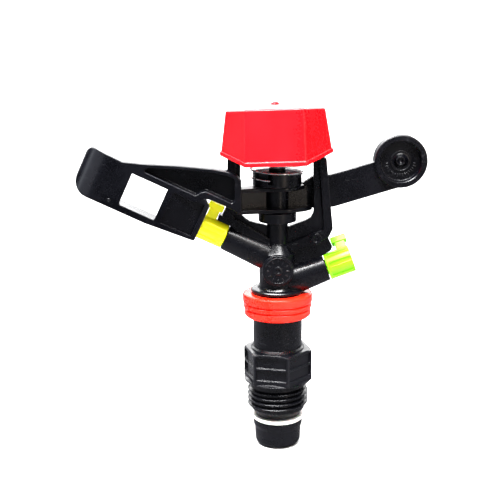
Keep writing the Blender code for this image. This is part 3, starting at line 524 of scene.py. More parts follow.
def wire(name, points, radius, sides):
    """A round wire along a line of points, in millimetres."""
    points = [Vector(p) for p in points]
    verts = []
    faces = []
    normal = Vector((0, 0, 1))
    for index, point in enumerate(points):
        ahead = points[min(index + 1, len(points) - 1)]
        behind = points[max(index - 1, 0)]
        tangent = (ahead - behind).normalized()
        normal = (normal - tangent * tangent.dot(normal)).normalized()
        side_way = tangent.cross(normal)
        for side in range(sides):
            angle = 2 * math.pi * side / sides
            verts.append(point + (normal * math.cos(angle) + side_way * math.sin(angle)) * radius)
    for step in range(len(points) - 1):
        for side in range(sides):
            nxt = (side + 1) % sides
            a, b = step * sides, (step + 1) * sides
            faces.append([a + side, a + nxt, b + nxt, b + side])
    faces.append(list(range(sides)))
    faces.append(list(range((len(points) - 1) * sides, len(points) * sides)))
    return make_mesh(name, verts, faces)


def combine(target, tool, operation):
    """A Boolean applied at once. The tool is used up."""
    modifier = target.modifiers.new("boolean", "BOOLEAN")
    modifier.operation = operation
    modifier.solver = "EXACT"
    modifier.object = tool
    graph = bpy.context.evaluated_depsgraph_get()
    made = bpy.data.meshes.new_from_object(target.evaluated_get(graph))
    target.modifiers.clear()
    target.data = made
    bpy.data.objects.remove(tool)
    return target


def add(target, tool):
    return combine(target, tool, "UNION")


def cut(target, tool):
    return combine(target, tool, "DIFFERENCE")


def lay_along(made, root_z, slope, side, distance, turn):
    """Points an object's +Z along a nozzle's axis and its +X up and away from the tube's underside."""
    out = Vector((side * math.cos(slope), 0, math.sin(slope)))
    up = Vector((-side * math.sin(slope), 0, math.cos(slope)))
    basis = Matrix((up, out.cross(up), out)).transposed().to_4x4()
    spot = Vector((0, 0, root_z)) + out * distance
    made.matrix_world = Matrix.Translation(spot * MM) @ basis @ Matrix.Rotation(turn, 4, "Z")
    return made


def range_axis(made, distance=0.0, turn=0.0):
    return lay_along(made, RANGE_ROOT_Z, RANGE_SLOPE, -1, distance, turn)


def rear_axis(made, distance=0.0, turn=0.0):
    return lay_along(made, REAR_ROOT_Z, REAR_SLOPE, 1, distance, turn)


def facing_front(made, x, z, depth=0.0):
    """Points an object's +Z at -Y, with its own origin at (x, depth, z)."""
    spot = Matrix.Translation(Vector((x, depth, z)) * MM)
    made.matrix_world = spot @ Matrix.Rotation(math.radians(90), 4, "X")
    return made


def finished(made, body, slot, *nodes):
    """Gives a piece its place, look and smooth shading, and hides the CAD nodes that it stands for."""
    made.data.transform(made.matrix_world)
    made.matrix_world = Matrix.Identity(4)
    mesh = made.data
    bm = bmesh.new()
    bm.from_mesh(mesh)
    bmesh.ops.remove_doubles(bm, verts=bm.verts, dist=WELD)
    bmesh.ops.dissolve_degenerate(bm, edges=bm.edges, dist=WELD)
    bm.to_mesh(mesh)
    bm.free()
    mesh.materials.clear()
    mesh.materials.append(LOOKS[slot])
    mesh.shade_smooth()
    mesh.set_sharp_from_angle(angle=SHARP)
    weighted = made.modifiers.new("flats", "WEIGHTED_NORMAL")
    weighted.keep_sharp = True
    if body:
        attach(made, body)
    if nodes:
        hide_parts(*nodes)
    return made


# ---------------------------------------------------------------- stationary nipple


def thread_ridge():
    """One closed helical ridge with a rounded crest, right-handed, fading in and out at its ends."""
    foot = THREAD_CORE_R - 0.4
    section = [(foot, -0.47), (THREAD_CORE_R, -0.40), (THREAD_R - 0.12, -0.13), (THREAD_R, -0.05)]
    section += [(r, -z) for r, z in reversed(section)]
    count = len(section)
    per_turn = 72
    fading = 30
    steps = int(THREAD_TURNS * per_turn)
    start = THREAD_TOP - THREAD_PITCH * THREAD_TURNS
    verts = []
    faces = []
    for step in range(steps + 1):
        angle = 2 * math.pi * step / per_turn
        fade = min(1.0, (step + 1) / fading, (steps + 1 - step) / fading)
        for radius, lift in section:
            reach = foot + (radius - foot) * fade
            height = start + THREAD_PITCH * (step / per_turn + lift * fade)
            verts.append((reach * math.cos(angle), reach * math.sin(angle), height))
    for step in range(steps):
        for side in range(count):
            nxt = (side + 1) % count
            a, b = step * count, (step + 1) * count
            faces.append([a + side, a + nxt, b + nxt, b + side])
    faces.append(list(range(count)))
    faces.append([steps * count + i for i in range(count)])
    return make_mesh("thread_ridge", verts, faces)


def hexagon():
    """The spanner hexagon's six corners."""
    radius = HEX_FLATS / 2 / math.cos(math.pi / 6)
    angles = [math.radians(60 * i) + HEX_TURN for i in range(6)]
    return [(radius * math.cos(a), radius * math.sin(a)) for a in angles]


def hex_block():
    """The spanner hexagon: turned chamfers, and two moulded pockets in every flat."""
    flat = HEX_FLATS / 2
    made = pushed("hex_block", rounded(hexagon(), 0.6, 4), plate(0, HEX_TOP, 0.2), in_xy)
    corner = flat / math.cos(math.pi / 6) + 0.1
    chamfers = [(0, -1), (flat, -1), (flat, 0), (corner, 0.4), (corner, HEX_TOP - 0.8)]
    chamfers += [(flat + 0.4, HEX_TOP), (flat, HEX_TOP + 1), (0, HEX_TOP + 1)]
    combine(made, turned("chamfers", chamfers), "INTERSECT")
    wide = POCKET_HALF_WIDTH
    for index in range(6):
        around = Matrix.Rotation(math.radians(30 + 60 * index) + HEX_TURN, 4, "Z")
        for low, high in HEX_POCKETS:
            outline = rounded([(-wide, low), (wide, low), (wide, high), (-wide, high)], 0.4, 3)
            depths = pocket(flat, flat - POCKET_DEPTH, 0.25, 0.2)
            tool = pushed("hex_pocket", outline, depths, lambda a, b, depth: (depth, a, b))
            tool.matrix_world = around
            cut(made, tool)
    # the round skirt that slopes out from under the flats
    skirt = [(SLEEVE_R, 0), (11.45, 0), (11.7, 0.2), (11.7, 0.35), (flat - 0.1, 0.95), (SLEEVE_R, 0.95)]
    return add(made, turned("hex_skirt", eased(skirt, 0.08, 2)))


def nipple():
    """Hexagon, thread and sleeve in one, with the bore that the water tube turns in."""
    core = THREAD_CORE_R
    bore = NIPPLE_BORE_R
    top = NIPPLE_HIGH.z
    end = NIPPLE_LOW.z
    shoulder = HEX_TOP - 1.0
    outline = [(bore, SLEEVE_FLOOR), (bore, -9.6), (7.2, -9.6), (7.2, end), (7.9, end), (8.1, end + 0.8)]
    outline += [(core, -10.1), (core, -1.0), (core, shoulder), (SLEEVE_R, shoulder), (SLEEVE_R, top - 0.5)]
    outline += [(7.9, top), (SLEEVE_BORE_R, top), (SLEEVE_BORE_R, SLEEVE_FLOOR)]
    made = turned("nipple", eased(outline, 0.15, 2))
    add(made, thread_ridge())
    hexagonal = hex_block()
    hollow = [(0, -2), (core - 0.6, -2), (core - 0.6, HEX_TOP - 2), (8.0, HEX_TOP - 1.5), (8.0, HEX_TOP + 2)]
    cut(hexagonal, turned("hex_hollow", hollow + [(0, HEX_TOP + 2)]))
    add(made, hexagonal)
    # a small step where the sleeve leaves the hexagon
    step = [(8.1, HEX_TOP - 0.6), (9.2, HEX_TOP - 0.6), (9.2, HEX_TOP + 0.25), (8.75, HEX_TOP + 0.55)]
    add(made, turned("sleeve_foot", step + [(8.1, HEX_TOP + 0.9)]))
    return finished(made, "base", "black_plastic", "threaded_nipple")


# ---------------------------------------------------------------- lower stem


def retainer():
    """The sleeve fixed to the water tube's lower end."""
    low, high, radius = RETAINER_LOW.z, RETAINER_HIGH.z, RETAINER_HIGH.x
    outline = [(5.65, high), (5.65, low + 0.4), (4.1, low + 0.4), (4.1, low), (5.7, low)]
    outline += arc((5.7, low + 2.1), 2.1, -80, 0, 8)
    outline += [(radius - 0.5, -17.6), (radius, -16.2), (radius, high)]
    made = turned("retainer", eased(outline, 0.25, 3))
    return finished(made, "rotor", "black_plastic", "tube_retainer")


def white_washer():
    """The white thrust washer above the retainer."""
    low, high, radius = WASHER_LOW.z, WASHER_HIGH.z, WASHER_HIGH.x
    outline = [(5.8, low), (radius, low), (radius, high), (5.8, high)]
    return finished(turned("white_washer", eased(outline, 0.2)), "rotor", "washer_white", "thrust_washer")


def ring():
    """The stepped dust ring with two fine grooves round it."""
    low, high, radius = RING_LOW.z, RING_HIGH.z, RING_HIGH.x
    inner = 8.7
    outline = [(inner, low), (radius - 1.2, low), (radius - 0.55, low + 0.6), (radius - 0.5, 25.5)]
    outline += [(radius - 0.95, 25.9), (radius - 0.95, 26.1), (radius - 0.25, 26.3), (radius - 0.25, 27.5)]
    outline += [(radius - 0.7, 27.9), (radius - 0.7, 28.1), (radius, 28.3), (radius, high - 0.8)]
    outline += [(radius - 0.25, high - 0.25), (radius - 0.8, high), (inner, high)]
    return finished(turned("ring", eased(outline, 0.14)), "rotor", "ring_red", "dust_ring")


# ---------------------------------------------------------------- rotor body


def bridge_half(side):
    """One leg with its share of the crossbar and of the sloping bar. side is 1 for the rear side."""
    low = CROSSBAR_BOTTOM
    high = BODY_HIGH.z
    half = BRIDGE_HALF_DEPTH
    if side > 0:
        half += LAP
        corners = [(-1.0, 43.0), (4.6, 45.6), (17.0, 50.2), (18.6, 53.5), (16.3, 77.2), (14.6, 77.9)]
        corners += [(13.5, high), (-1.0, high), (-1.0, low), (11.4, low), (12.3, 79.9), (13.6, 78.9)]
        corners += [(15.6, 53.2), (2.2, 48.0), (-1.0, 46.9)]
        radii = [0, 1, 2.2, 1.5, 0.4, 0.4, 1.2, 0, 0, 1.5, 0.4, 0.4, 1.2, 1, 0]
    else:
        # its foot carries a lip over the nozzle
        corners = [(1.0, 43.0), (-6.0, 46.0), (-14.6, 53.7), (-15.7, 54.71), (-20.2, 56.83), (-19.42, 58.56)]
        corners += [(-18.52, 58.24), (-17.0, 61.3), (-16.5, 77.2), (-14.6, 77.9), (-13.5, high), (1.0, high)]
        corners += [(1.0, low), (-11.4, low), (-12.3, 79.9), (-13.3, 78.9), (-14.9, 57.6), (-2.2, 50.0)]
        corners += [(1.0, 49.0)]
        radii = [0, 1, 0, 0.4, 0.4, 0.4, 0, 0.5, 0.4, 0.4, 1.2, 0, 0, 1.5, 0.4, 0.4, 1.2, 1, 0]
    return pushed("bridge_half", rounded(corners, radii, 5), plate(-half, half), in_xz)


def bridge_webs(side):
    """Thin webs: inside the leg and down to the bar, and between the bar and the tube."""
    if side > 0:
        inner = [(11.9, 84.8), (12.0, 79.9), (12.2, 60.0), (12.1, 58.6), (11.2, 57.1), (9.2, 56.1)]
        inner += [(7.2, 55.4), (5.2, 54.6), (2.0, 53.4), (2.0, 44.0), (16.2, 52.0), (15.0, 60.0), (13.2, 84.8)]
        lower = [(3.0, 46.2), (16.9, 50.6), (18.6, 47.0), (18.1, 45.7), (16.2, 44.6), (3.0, 36.0)]
        half = WEB_HALF_DEPTH
    else:
        inner = [(-12.1, 84.8), (-12.2, 79.9), (-12.5, 60.0), (-12.4, 58.6), (-10.7, 56.9), (-9.3, 56.1)]
        inner += [(-7.0, 55.4), (-2.0, 54.0), (-2.0, 44.0), (-14.9, 54.2), (-15.0, 60.0), (-13.2, 84.8)]
        lower = [(-3.0, 50.0), (-14.4, 56.4), (-14.8, 52.6), (-3.0, 45.0)]
        half = WEB_HALF_DEPTH + LAP
    inner_web = pushed("inner_web", inner, plate(-half, half, 0.15, 2), in_xz)
    lower_web = pushed("lower_web", lower, plate(-half - LAP, half + LAP, 0.15, 2), in_xz)
    return inner_web, lower_web


def tick(low, high, depths, degrees):
    """A short raised bar on a round face, from one radius to another."""
    half = TICK_HALF_WIDTH
    made = pushed("tick", [(low, -half), (high, -half), (high, half), (low, half)], depths, in_xy)
    made.data.transform(Matrix.Rotation(math.radians(degrees), 4, "Z"))
    return made


def boss_marks(body):
    """Plain raised marks on the round front boss: a ring, twelve short ticks and a dot."""
    place = (0, FACE_BOSS_Z, -FACE_BOSS_DEPTH)
    outline = [(4.2, -0.2), (4.55, -0.2), (4.55, 0.16), (4.2, 0.16)]
    add(body, facing_front(turned("boss_ring", eased(outline, 0.08, 2), 64), *place))
    for index in range(12):
        mark = tick(2.9, 3.75, plate(-0.2, 0.16, 0.06, 1), 90 + 30 * index)
        add(body, facing_front(mark, *place))
    dot = [(0, -0.3), (1.5, -0.3), (1.5, 0.05), (1.3, 0.2), (0.7, 0.2), (0.5, -0.05), (0, -0.05)]
    add(body, facing_front(turned("boss_dot", dot, 32), *place))


def rotor_body():
    """Flange, trunk, shaft boss, both nozzle tubes and the bridge, with the water way through them."""
    low = BODY_LOW.z
    trunk = [(0, low), (8.7, low), (9.0, low + 0.3), (9.0, 32.4), (8.6, 32.8), (6.8, 32.8), (6.2, 33.6)]
    trunk += [(6.2, 45.0), (5.4, 46.0), (4.1, 48.0), (3.6, 48.4), (3.6, 55.5), (3.4, 55.7), (0, 55.7)]
    body = turned("body", eased(trunk, 0.2, 3), 80)
    boss = [(0, 0), (FACE_BOSS_R, 0), (FACE_BOSS_R, FACE_BOSS_DEPTH), (0, FACE_BOSS_DEPTH)]
    add(body, facing_front(turned("face_boss", eased(boss, 0.3), 64), 0, FACE_BOSS_Z))
    for side in (-1, 1):
        add(body, bridge_half(side))
        for web in bridge_webs(side):
            add(body, web)
    tube = [(0, 0), (5.05, 0), (5.05, 6.0), (4.45, RANGE_TUBE_END), (0, RANGE_TUBE_END)]
    add(body, range_axis(turned("range_tube", eased(tube), 64)))
    tube = [(0, 0), (5.3, 0), (5.3, 6.0), (4.5, REAR_TUBE_END), (0, REAR_TUBE_END)]
    add(body, rear_axis(turned("rear_tube", eased(tube), 64)))
    cut(body, block("below_flange", (-12, -12, 20), (12, 12, low + 0.005)))
    spring_boss = [(0, 78.5), (7.4, 78.5), (7.4, 86.0), (0, 86.0)]
    add(body, turned("spring_boss", eased(spring_boss, 0.5), 64))
    knuckle = [(0, -3.6), (1.9, -3.6), (1.9, 3.6), (1.1, 3.6), (0.9, 3.3), (0, 3.3)]
    add(body, facing_front(turned("bar_knuckle", eased(knuckle, 0.15), 40), 12.9, 50.2))
    boss_marks(body)
    bore = [(0, low - 1), (5.65, low - 1), (5.65, 36.3), (4.0, 36.3), (4.0, 43.0), (2.4, 44.4), (0, 44.4)]
    cut(body, turned("water_bore", bore, 48))
    pipe = [(0, 1.5), (2.9, 1.5), (2.9, 25), (0, 25)]
    cut(body, range_axis(turned("range_bore", pipe, 40)))
    cut(body, rear_axis(turned("rear_bore", pipe, 40)))
    floor = PIN_LOW.z - 0.3
    cut(body, turned("pin_hole", [(0, floor), (1.6, floor), (1.6, 60), (0, 60)], 32))
    cut(body, turned("top_hole", [(0, 77), (1.8, 77), (1.8, 80.0), (2.8, 80.0), (2.8, 90), (0, 90)], 32))
    return finished(body, "rotor", "black_plastic", "rotor_body")


# ---------------------------------------------------------------- nozzles


def nozzle(name, radius, orifice):
    """A turned nozzle with grip grooves and an ear, whose plug goes into its tube."""
    length = NOZZLE_LENGTH
    plug = NOZZLE_PLUG_R
    outline = [(orifice + 0.35, -5.0), (plug, -5.0), (plug, -3.2), (2.05, -3.2), (2.05, -2.0), (plug, -2.0)]
    outline += [(plug, 0), (radius, 0), (radius, length), (orifice + 1.4, length), (orifice, length - 1.4)]
    made = turned(name, eased(outline, 0.2), 80)
    # no grooves beside the ear
    for index in range(1, 7):
        groove = rounded([(-0.75, -0.5), (0.75, -0.5), (1.05, 1.0), (-1.05, 1.0)], [0.3, 0.3, 0, 0], 4)
        tool = pushed("groove", groove, [(1.0, 0), (20, 0)], lambda a, b, depth: (radius + b, a, depth))
        tool.matrix_world = Matrix.Rotation(math.radians(22.5 + 45 * index), 4, "Z")
        cut(made, tool)
    neck = [(3.0, 5.0), (7.5, 5.0), (7.5, 8.6), (3.0, 8.6)]
    add(made, pushed("ear_neck", neck, plate(-1.15, 1.15, 0.2), in_xz))
    head = rounded([(7.0, 4.1), (9.4, 4.1), (9.4, 9.4), (7.0, 9.4)], 0.5, 4)
    return add(made, pushed("ear_head", head, plate(-1.4, 1.4), in_xz))


def nozzles():
    """Both nozzles, each on the end of its tube."""
    made = range_axis(nozzle("yellow_nozzle", 4.2, 1.5), RANGE_TUBE_END + NOZZLE_GAP)
    finished(made, "range_nozzle", "nozzle_yellow", "range_nozzle")
    made = rear_axis(nozzle("green_nozzle", 4.55, 1.2), REAR_TUBE_END + NOZZLE_GAP, REAR_NOZZLE_TURN)
    finished(made, "rear_nozzle", "nozzle_green", "rear_nozzle")


# ---------------------------------------------------------------- arm


def spoon():
    """The open-backed box that the jet enters: window, slanted vane and curved deflector."""
    start, end, low, high = 28.8, 73.4, -5.5, 10.3
    back, wall, reach = 3.0, 1.5, 9.0
    side = [(start, -4.2), (46, low), (end, low), (end, high), (54, 10.1), (start + 2.0, 10.0), (start, 8.4)]
    made = pushed("spoon", rounded(side, [0.5, 8, 5.5, 3.7, 2, 0.4, 0.4], 8), plate(ARM_FRONT, back), in_jet)
    bend = end - reach
    centre = (bend, ARM_FRONT + reach)
    outer = [(bend, ARM_FRONT - 0.5)] + arc(centre, reach, -90, 0, 24)[1:]
    outer += [(end + 1, centre[1]), (end + 1, ARM_FRONT - 0.5)]
    cut(made, pushed("outside_of_bend", outer, [(low - 1, 0), (high + 2, 0)], in_jet_plan))
    inner_front = ARM_FRONT + wall
    hollow = [(start - 1, -4.95), (41.6, inner_front), (bend, inner_front)]
    hollow += arc(centre, reach - wall, -90, 0, 16)[1:]
    hollow += [(end - wall, back + 1), (start - 1, back + 1)]
    cut(made, pushed("inside_of_spoon", hollow, [(-3.8, 0), (8.5, 0)], in_jet_plan))
    window = rounded([(43.6, -3.2), (56.3, -3.2), (56.3, 8.45), (43.6, 8.45)], 0.5, 4)
    flare = [(ARM_FRONT - 1, RIM)]
    flare += [(ARM_FRONT - 0.01 + RIM * (1 - math.cos(a)), RIM * (1 - math.sin(a))) for a in quarter(3)]
    cut(made, pushed("window", window, flare + [(0.5, 0)], in_jet))
    slant = [(30.4, ARM_FRONT - 1), (41.4, ARM_FRONT - 1), (41.4, -7.4), (30.4, -6.2)]
    cut(made, pushed("vane_front", slant, [(-3.2, 0), (8.4, 0)], in_jet_plan))
    throat = [(start - 2, -4.8), (31.5, -4.8), (31.5, back + 1), (start - 2, back + 1)]
    cut(made, pushed("throat", throat, [(low - 2, 0), (high + 2, 0)], in_jet_plan))
    return made


def channel():
    """The beam from the hub to the spoon, with its pocket open to the front."""
    top = [(-12.0, 60.1), (-12.0, 70.5), (-13.2, 72.1), (-15.7, 73.7), (-21.2, 74.8), (-31.5, 75.9)]
    top += [(-44.2, 76.7), (-50.8, 77.4), (-52.8, 76.1), (-32.9, 66.7)]
    under = [(-27.8, 63.9), (-26.0, 64.1), (-24.2, 65.1), (-22.2, 64.6), (-17.5, 62.6), (-15.1, 61.3)]
    under += [(-13.2, 60.1)]
    radii = [0, 0.6, 1.5, 3, 4, 4, 6, 1, 0, 0, 1, 0.8, 0.8, 0.8, 1.5, 1, 0.5]
    front = ARM_FRONT - LAP
    beam = pushed("channel", rounded(top + under, radii, 6), plate(front, ARM_BACK, 0.35), in_xz)
    inside = [(-43.8, 74.3), (-28.2, 66.7), (-27.1, 66.1), (-25.2, 67.2), (-23.6, 67.5), (-21.6, 66.6)]
    inside += [(-15.0, 63.4), (-14.2, 64.3), (-14.2, 71.5), (-16.0, 72.4), (-21.4, 73.6), (-31.6, 74.7)]
    inside += [(-42.3, 75.3)]
    radii = [0.5, 1, 0.8, 1, 1, 1, 0.6, 0.5, 0.8, 1.5, 2, 3, 0.5]
    cut(beam, pushed("pocket", rounded(inside, radii, 6), pocket(front, -4.7, 0.4, 0.4), in_xz))
    return beam


def hub_plate(z_low, z_high, right):
    """One flange of the hub, seen from above."""
    corners = [(HUB_LEFT, ARM_FRONT + 0.3), (-6.0, -6.2), (4.0, -5.6), (right - 2.4, -2.6), (right, 0.6)]
    corners += [(right, 5.4), (2.0, 5.4), (-5.0, 4.6), (HUB_LEFT, -2.5)]
    outline = rounded(corners, [0.35, 6, 5, 2, 1.5, 0.5, 3, 3, 0.5], 8)
    return pushed("hub_plate", outline, plate(z_low, z_high, 0.25), in_xy)


def weight(arm):
    """The disc at the tail's end, with a dished front and plain raised marks in the dish."""
    radius, front, back, dish = 8.9, 1.4, 7.2, 6.9
    floor = -front - 2.0
    place = (WEIGHT_X, WEIGHT_Z)
    disc = [(0, -back), (radius, -back), (radius, -front), (0, -front)]
    add(arm, facing_front(turned("weight", eased(disc, 0.45, 4), 96), *place))
    hollow = [(0, floor), (dish - 0.3, floor), (dish, -front - 0.3), (dish + 0.3, -front), (dish + 0.6, 0)]
    cut(arm, facing_front(turned("dish", eased(hollow + [(0, 0)], 0.2, 3), 96), *place))
    for index in range(17):
        length = 1.1 if index % 2 else 0.7
        mark = tick(4.4, 4.4 + length, plate(floor - 0.2, floor + 0.22, 0.07, 1), -170 + 10 * index)
        add(arm, facing_front(mark, *place))
    for low, high in ((1.1, 1.5), (3.1, 3.5)):
        band = [(low, floor - 0.2), (high, floor - 0.2), (high, floor + 0.22), (low, floor + 0.22)]
        add(arm, facing_front(turned("band", eased(band, 0.08, 2), 64), *place))


def impact_arm():
    """Hub, drum, channel, spoon, tail and weight in one piece, bored for the pin's bushes."""
    low = ARM_BOTTOM
    bore = HUB_BORE_R
    step = HUB_TOP + 0.3
    hub = [(bore, low), (3.8, low), (3.8, step), (8.2, step), (8.2, DRUM_TOP), (bore, DRUM_TOP)]
    arm = turned("arm", eased(hub, 0.3), 80)
    add(arm, hub_plate(low, low + 1.3, 11.7))
    add(arm, hub_plate(HUB_TOP - 1.3, HUB_TOP, 9.2))
    web = [(HUB_LEFT, -4.6), (-4.5, -1.4), (4.0, 1.2), (12.4, 2.9), (12.4, 5.0), (3.0, 3.4), (-4.5, 0.9)]
    web += [(HUB_LEFT, -2.9)]
    add(arm, pushed("hub_web", web, [(low + 0.5, 0), (HUB_TOP - 0.5, 0)], in_xy))
    add(arm, channel())
    add(arm, spoon())
    tail = [(6.0, low + LAP), (19.2, 60.0), (42.9, 66.9), (44.0, 76.0), (34.0, 75.6), (18.2, 71.0)]
    tail += [(12.2, 70.6), (8.2, HUB_TOP - LAP), (6.0, HUB_TOP - LAP)]
    tail = rounded(tail, [0, 3, 0, 0, 1, 2, 2, 1, 0], 6)
    add(arm, pushed("tail", tail, plate(2.8, 5.8), in_xz))
    weight(arm)
    gate = [(0, 7.6), (0.75, 7.6), (0.75, 8.0), (0.6, 8.12), (0.25, 8.12), (0.15, 8.02), (0, 8.02)]
    x, depth, z = in_jet(59.8, -3.4, 0.0)
    add(arm, facing_front(turned("gate_mark", gate, 24), x, z, depth))
    slot_piece = block("spring_slot", (4.6, -0.8, 69.4), (9.0, 0.8, 74.0))
    slot_piece.matrix_world = Matrix.Rotation(math.radians(SLOT_AZIMUTH), 4, "Z")
    cut(arm, slot_piece)
    hole = [(0, low - 1), (bore, low - 1), (bore, DRUM_TOP + 1), (0, DRUM_TOP + 1)]
    cut(arm, turned("hub_bore", hole, 32))
    return finished(arm, "arm", "black_plastic", "impact_arm")


def shaft_pieces():
    """The steel pin, and the collar on it under the arm's hub."""
    low, high, radius = PIN_LOW.z, PIN_HIGH.z, PIN_HIGH.x
    pin = [(0, low), (radius, low), (radius, high), (0, high)]
    finished(turned("pin", eased(pin, 0.3), 48), "rotor", "spring_steel", "fulcrum_pin")
    low, high, radius = COLLAR_LOW.z, COLLAR_HIGH.z, COLLAR_HIGH.x
    collar = [(1.58, low), (radius, low), (radius, high), (1.58, high)]
    finished(turned("collar", eased(collar, 0.18), 64), "rotor", "black_plastic", "arm_thrust_collar")


def arm_spring():
    """The torsion spring: a tang in the drum's slot and left-handed turns up to the bridge's boss."""
    low = COIL_BOTTOM
    high = COIL_TOP
    first = math.radians(SLOT_AZIMUTH)
    tang = (5.6, 6.2, 6.8, 7.4, 7.9, 8.3)
    points = [(reach * math.cos(first), reach * math.sin(first), low) for reach in tang]
    steps = COIL_TURNS * 60
    for step in range(2, steps + 1):
        angle = first - 2 * math.pi * COIL_TURNS * step / steps
        height = low + (high - low) * step / steps
        points.append((COIL_R * math.cos(angle), COIL_R * math.sin(angle), height))
    made = wire("arm_spring", points, COIL_WIRE_R, 12)
    finished(made, None, "spring_steel", "torsion_spring")
    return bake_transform(made)


# ---------------------------------------------------------------- cap


def cap_ring(z, inset, extra):
    """The cap's outline in X and Y at a height, moved in by inset and out by extra."""
    share = (z - CAP_BOTTOM) / (CAP_TOP - CAP_BOTTOM)
    side, front, depth = [a + (b - a) * share for a, b in zip(CAP_FOOT, CAP_HEAD)]
    slant = (side - front) / depth
    side += (extra - inset) * math.hypot(1, slant)
    depth += extra - inset
    front = side - slant * depth
    corners = [(side, 0), (front, depth), (-front, depth), (-side, 0), (-front, -depth), (front, -depth)]
    return rounded(corners, 0.9, 6)


def cap_level(z, inset=0.0, extra=0.0, roof=False, share=1.0):
    """One ring of the cap's points. Low rings rise towards the side corners, and the roof's rings
    follow its crown and are drawn in towards the middle by share."""
    slope = CAP_EDGE_RISE / (CAP_FOOT[0] - CAP_FOOT[1])
    level = []
    for x, y in cap_ring(z, inset, extra):
        x *= share
        lift = -CAP_CROWN * x * x if roof else slope * max(0.0, abs(x) - CAP_FOOT[1])
        level.append((x, y * share, z + lift))
    return level


def cap():
    """The six-sided cover of the bridge's top, sitting slightly crooked as a pressed-on cover does."""
    inside = CAP_TOP - CAP_ROOF
    lip = ((0, 0.1), (0.12, 0.28), (0.3, 0.35), (1.2, 0.35), (1.36, 0.28), (1.45, 0.1), (1.6, 0.0))
    shoulder = ((0.55, 0.0), (0.3, 0.06), (0.1, 0.22), (0.0, 0.5))
    shares = (0.8, 0.6, 0.4, 0.2)
    levels = [cap_level(CAP_BOTTOM + lift, 0, extra) for lift, extra in lip]
    levels += [cap_level(CAP_TOP - drop, inset, roof=True) for drop, inset in shoulder]
    levels += [cap_level(CAP_TOP, 0.5, roof=True, share=share) for share in shares]
    outer = len(levels)
    levels += [cap_level(inside, CAP_WALL, roof=True, share=share) for share in reversed(shares)]
    levels.append(cap_level(inside, CAP_WALL, roof=True))
    levels += [cap_level(CAP_BOTTOM + 2, CAP_WALL), cap_level(CAP_BOTTOM, CAP_WALL)]
    count = len(levels[0])
    verts = [point for ring in levels for point in ring]
    faces = []
    for index in range(len(levels)):
        if index == outer - 1:
            continue
        low, high = index * count, (index + 1) % len(levels) * count
        for i in range(count):
            nxt = (i + 1) % count
            faces.append([low + i, low + nxt, high + nxt, high + i])
    for index, z in ((outer - 1, CAP_TOP), (outer, inside)):
        faces += [[index * count + i, index * count + (i + 1) % count, len(verts)] for i in range(count)]
        verts.append((0, 0, z))
    made = make_mesh("cap", verts, faces)
    nub = [(0, CAP_TOP - 1), (1.3, CAP_TOP - 1), (1.3, 95.3), (0.9, 95.65), (0.3, 95.8), (0, 95.8)]
    add(made, turned("nub", eased(nub, 0.15), 32))
    middle = Vector((0, 0, (CAP_BOTTOM + CAP_TOP) / 2)) * MM
    shifted = middle + Vector((CAP_SHIFT * MM, 0, 0))
    turn = Matrix.Rotation(math.radians(CAP_TILT), 4, "Y") @ Matrix.Rotation(math.radians(CAP_TURN), 4, "Z")
    made.matrix_world = Matrix.Translation(shifted) @ turn @ Matrix.Translation(-middle)
    return finished(made, "rotor", "cap_red", "bridge_cap")


# ---------------------------------------------------------------- carried-over nodes, stage


def carried_over():
    """Gives every CAD node that is still shown the look of its slot."""
    slots = {row["node"]: row["material_slot"] for row in frame["record"]["subparts"]}
    for name, made in frame["nodes"].items():
        if not made.hide_render:
            made.data.materials.clear()
            made.data.materials.append(LOOKS[slots[name]])


def stage():
    """A pale floor that curves up into a pale backdrop."""
    floor = CAD_BOX[0].z / MM - 0.05
    front, back, bend, top, half_width = -1600, 500, 400, 2200, 2600
    curve = quarter(16)[1:]
    profile = [(front, floor), (back, floor)]
    profile += [(back + bend * math.sin(a), floor + bend * (1 - math.cos(a))) for a in curve]
    profile += [(back + bend, floor + top)]
    verts = [(x, y, z) for y, z in profile for x in (-half_width, half_width)]
    faces = [[2 * i, 2 * i + 1, 2 * i + 3, 2 * i + 2] for i in range(len(profile) - 1)]
    made = make_mesh("floor", verts, faces)
    look = Look("pale_floor")
    pale = look.ramp(look.noise(9, 3), (0.3, (0.62, 0.615, 0.61)), (0.7, (0.66, 0.655, 0.65)))
    # dimmer in reflections, so that the black plastic stays black
    reflected = look.node("ShaderNodeLightPath").outputs["Is Glossy Ray"]
    look.set(Base_Color=look.mix(reflected, pale, (0.1, 0.1, 0.11)), Roughness=0.9)
    made.data.materials.append(look.material)
    made.data.shade_smooth()


def area_light(name, size, power, spot, target=(0, 0, 0.045), colour=(1, 1, 1), spread=180):
    """A soft rectangular light, sized and placed in metres, aimed at target."""
    data = bpy.data.lights.new(name, "AREA")
    data.shape = "RECTANGLE"
    data.size, data.size_y = size
    data.energy = power
    data.color = colour
    data.spread = math.radians(spread)
    made = bpy.data.objects.new(name, data)
    bpy.context.scene.collection.objects.link(made)
    made.location = spot
    made.rotation_euler = (Vector(target) - Vector(spot)).to_track_quat("-Z", "Y").to_euler()


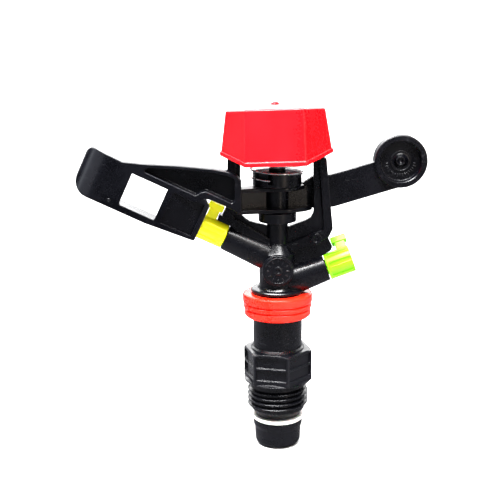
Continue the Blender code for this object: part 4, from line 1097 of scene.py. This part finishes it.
def sky():
    """A dim bluish world that shows white behind the backdrop."""
    world = bpy.data.worlds.new("studio")
    world.use_nodes = True
    tree = world.node_tree
    dim = tree.nodes["Background"]
    dim.inputs["Color"].default_value = (0.86, 0.93, 1.0, 1)
    dim.inputs["Strength"].default_value = 0.3
    white = tree.nodes.new("ShaderNodeBackground")
    white.inputs["Color"].default_value = (1, 1, 1, 1)
    mixed = tree.nodes.new("ShaderNodeMixShader")
    tree.links.new(tree.nodes.new("ShaderNodeLightPath").outputs["Is Camera Ray"], mixed.inputs["Fac"])
    tree.links.new(dim.outputs["Background"], mixed.inputs[1])
    tree.links.new(white.outputs["Background"], mixed.inputs[2])
    tree.links.new(mixed.outputs["Shader"], tree.nodes["World Output"].inputs["Surface"])
    bpy.context.scene.world = world


def lights():
    """Two soft lights in front, a dim one at each side, and two that whiten what is behind."""
    area_light("overhead", (0.7, 0.14), 5.2, (-0.08, -0.17, 0.56), spread=90)
    area_light("window", (0.06, 0.5), 0.7, (0.27, -0.42, 0.2), colour=(1.0, 0.86, 0.72))
    area_light("left", (0.08, 0.4), 0.25, (-0.5, 0.02, 0.2), colour=(0.9, 0.95, 1.0))
    area_light("right", (0.08, 0.4), 0.2, (0.5, 0.02, 0.2))
    area_light("behind", (1.2, 0.3), 6.5, (0, 0.6, 0.55), (0, 0.62, 0.0), spread=130)
    area_light("skyline", (1.3, 0.22), 5, (0, 0.8, 0.34), (0, 0, 0.08))


def camera():
    """The camera, turned slightly about its own axis."""
    data = bpy.data.cameras.new("camera")
    data.sensor_width = 36
    data.lens = CAMERA_LENS
    data.clip_start = 0.01
    data.clip_end = 20
    made = bpy.data.objects.new("camera", data)
    bpy.context.scene.collection.objects.link(made)
    made.location = CAMERA_SPOT
    aim = Vector(CAMERA_AIM) - made.location
    level = aim.to_track_quat("-Z", "Y").to_matrix()
    made.rotation_euler = (level @ Matrix.Rotation(math.radians(CAMERA_ROLL), 3, "Z")).to_euler()
    bpy.context.scene.camera = made
    bpy.context.scene.view_settings.view_transform = "Standard"
    bpy.context.scene.view_settings.look = "Medium High Contrast"


nipple()
retainer()
white_washer()
ring()
rotor_body()
nozzles()
impact_arm()
shaft_pieces()
arm_spring()
cap()
carried_over()
stage()
sky()
lights()
camera()
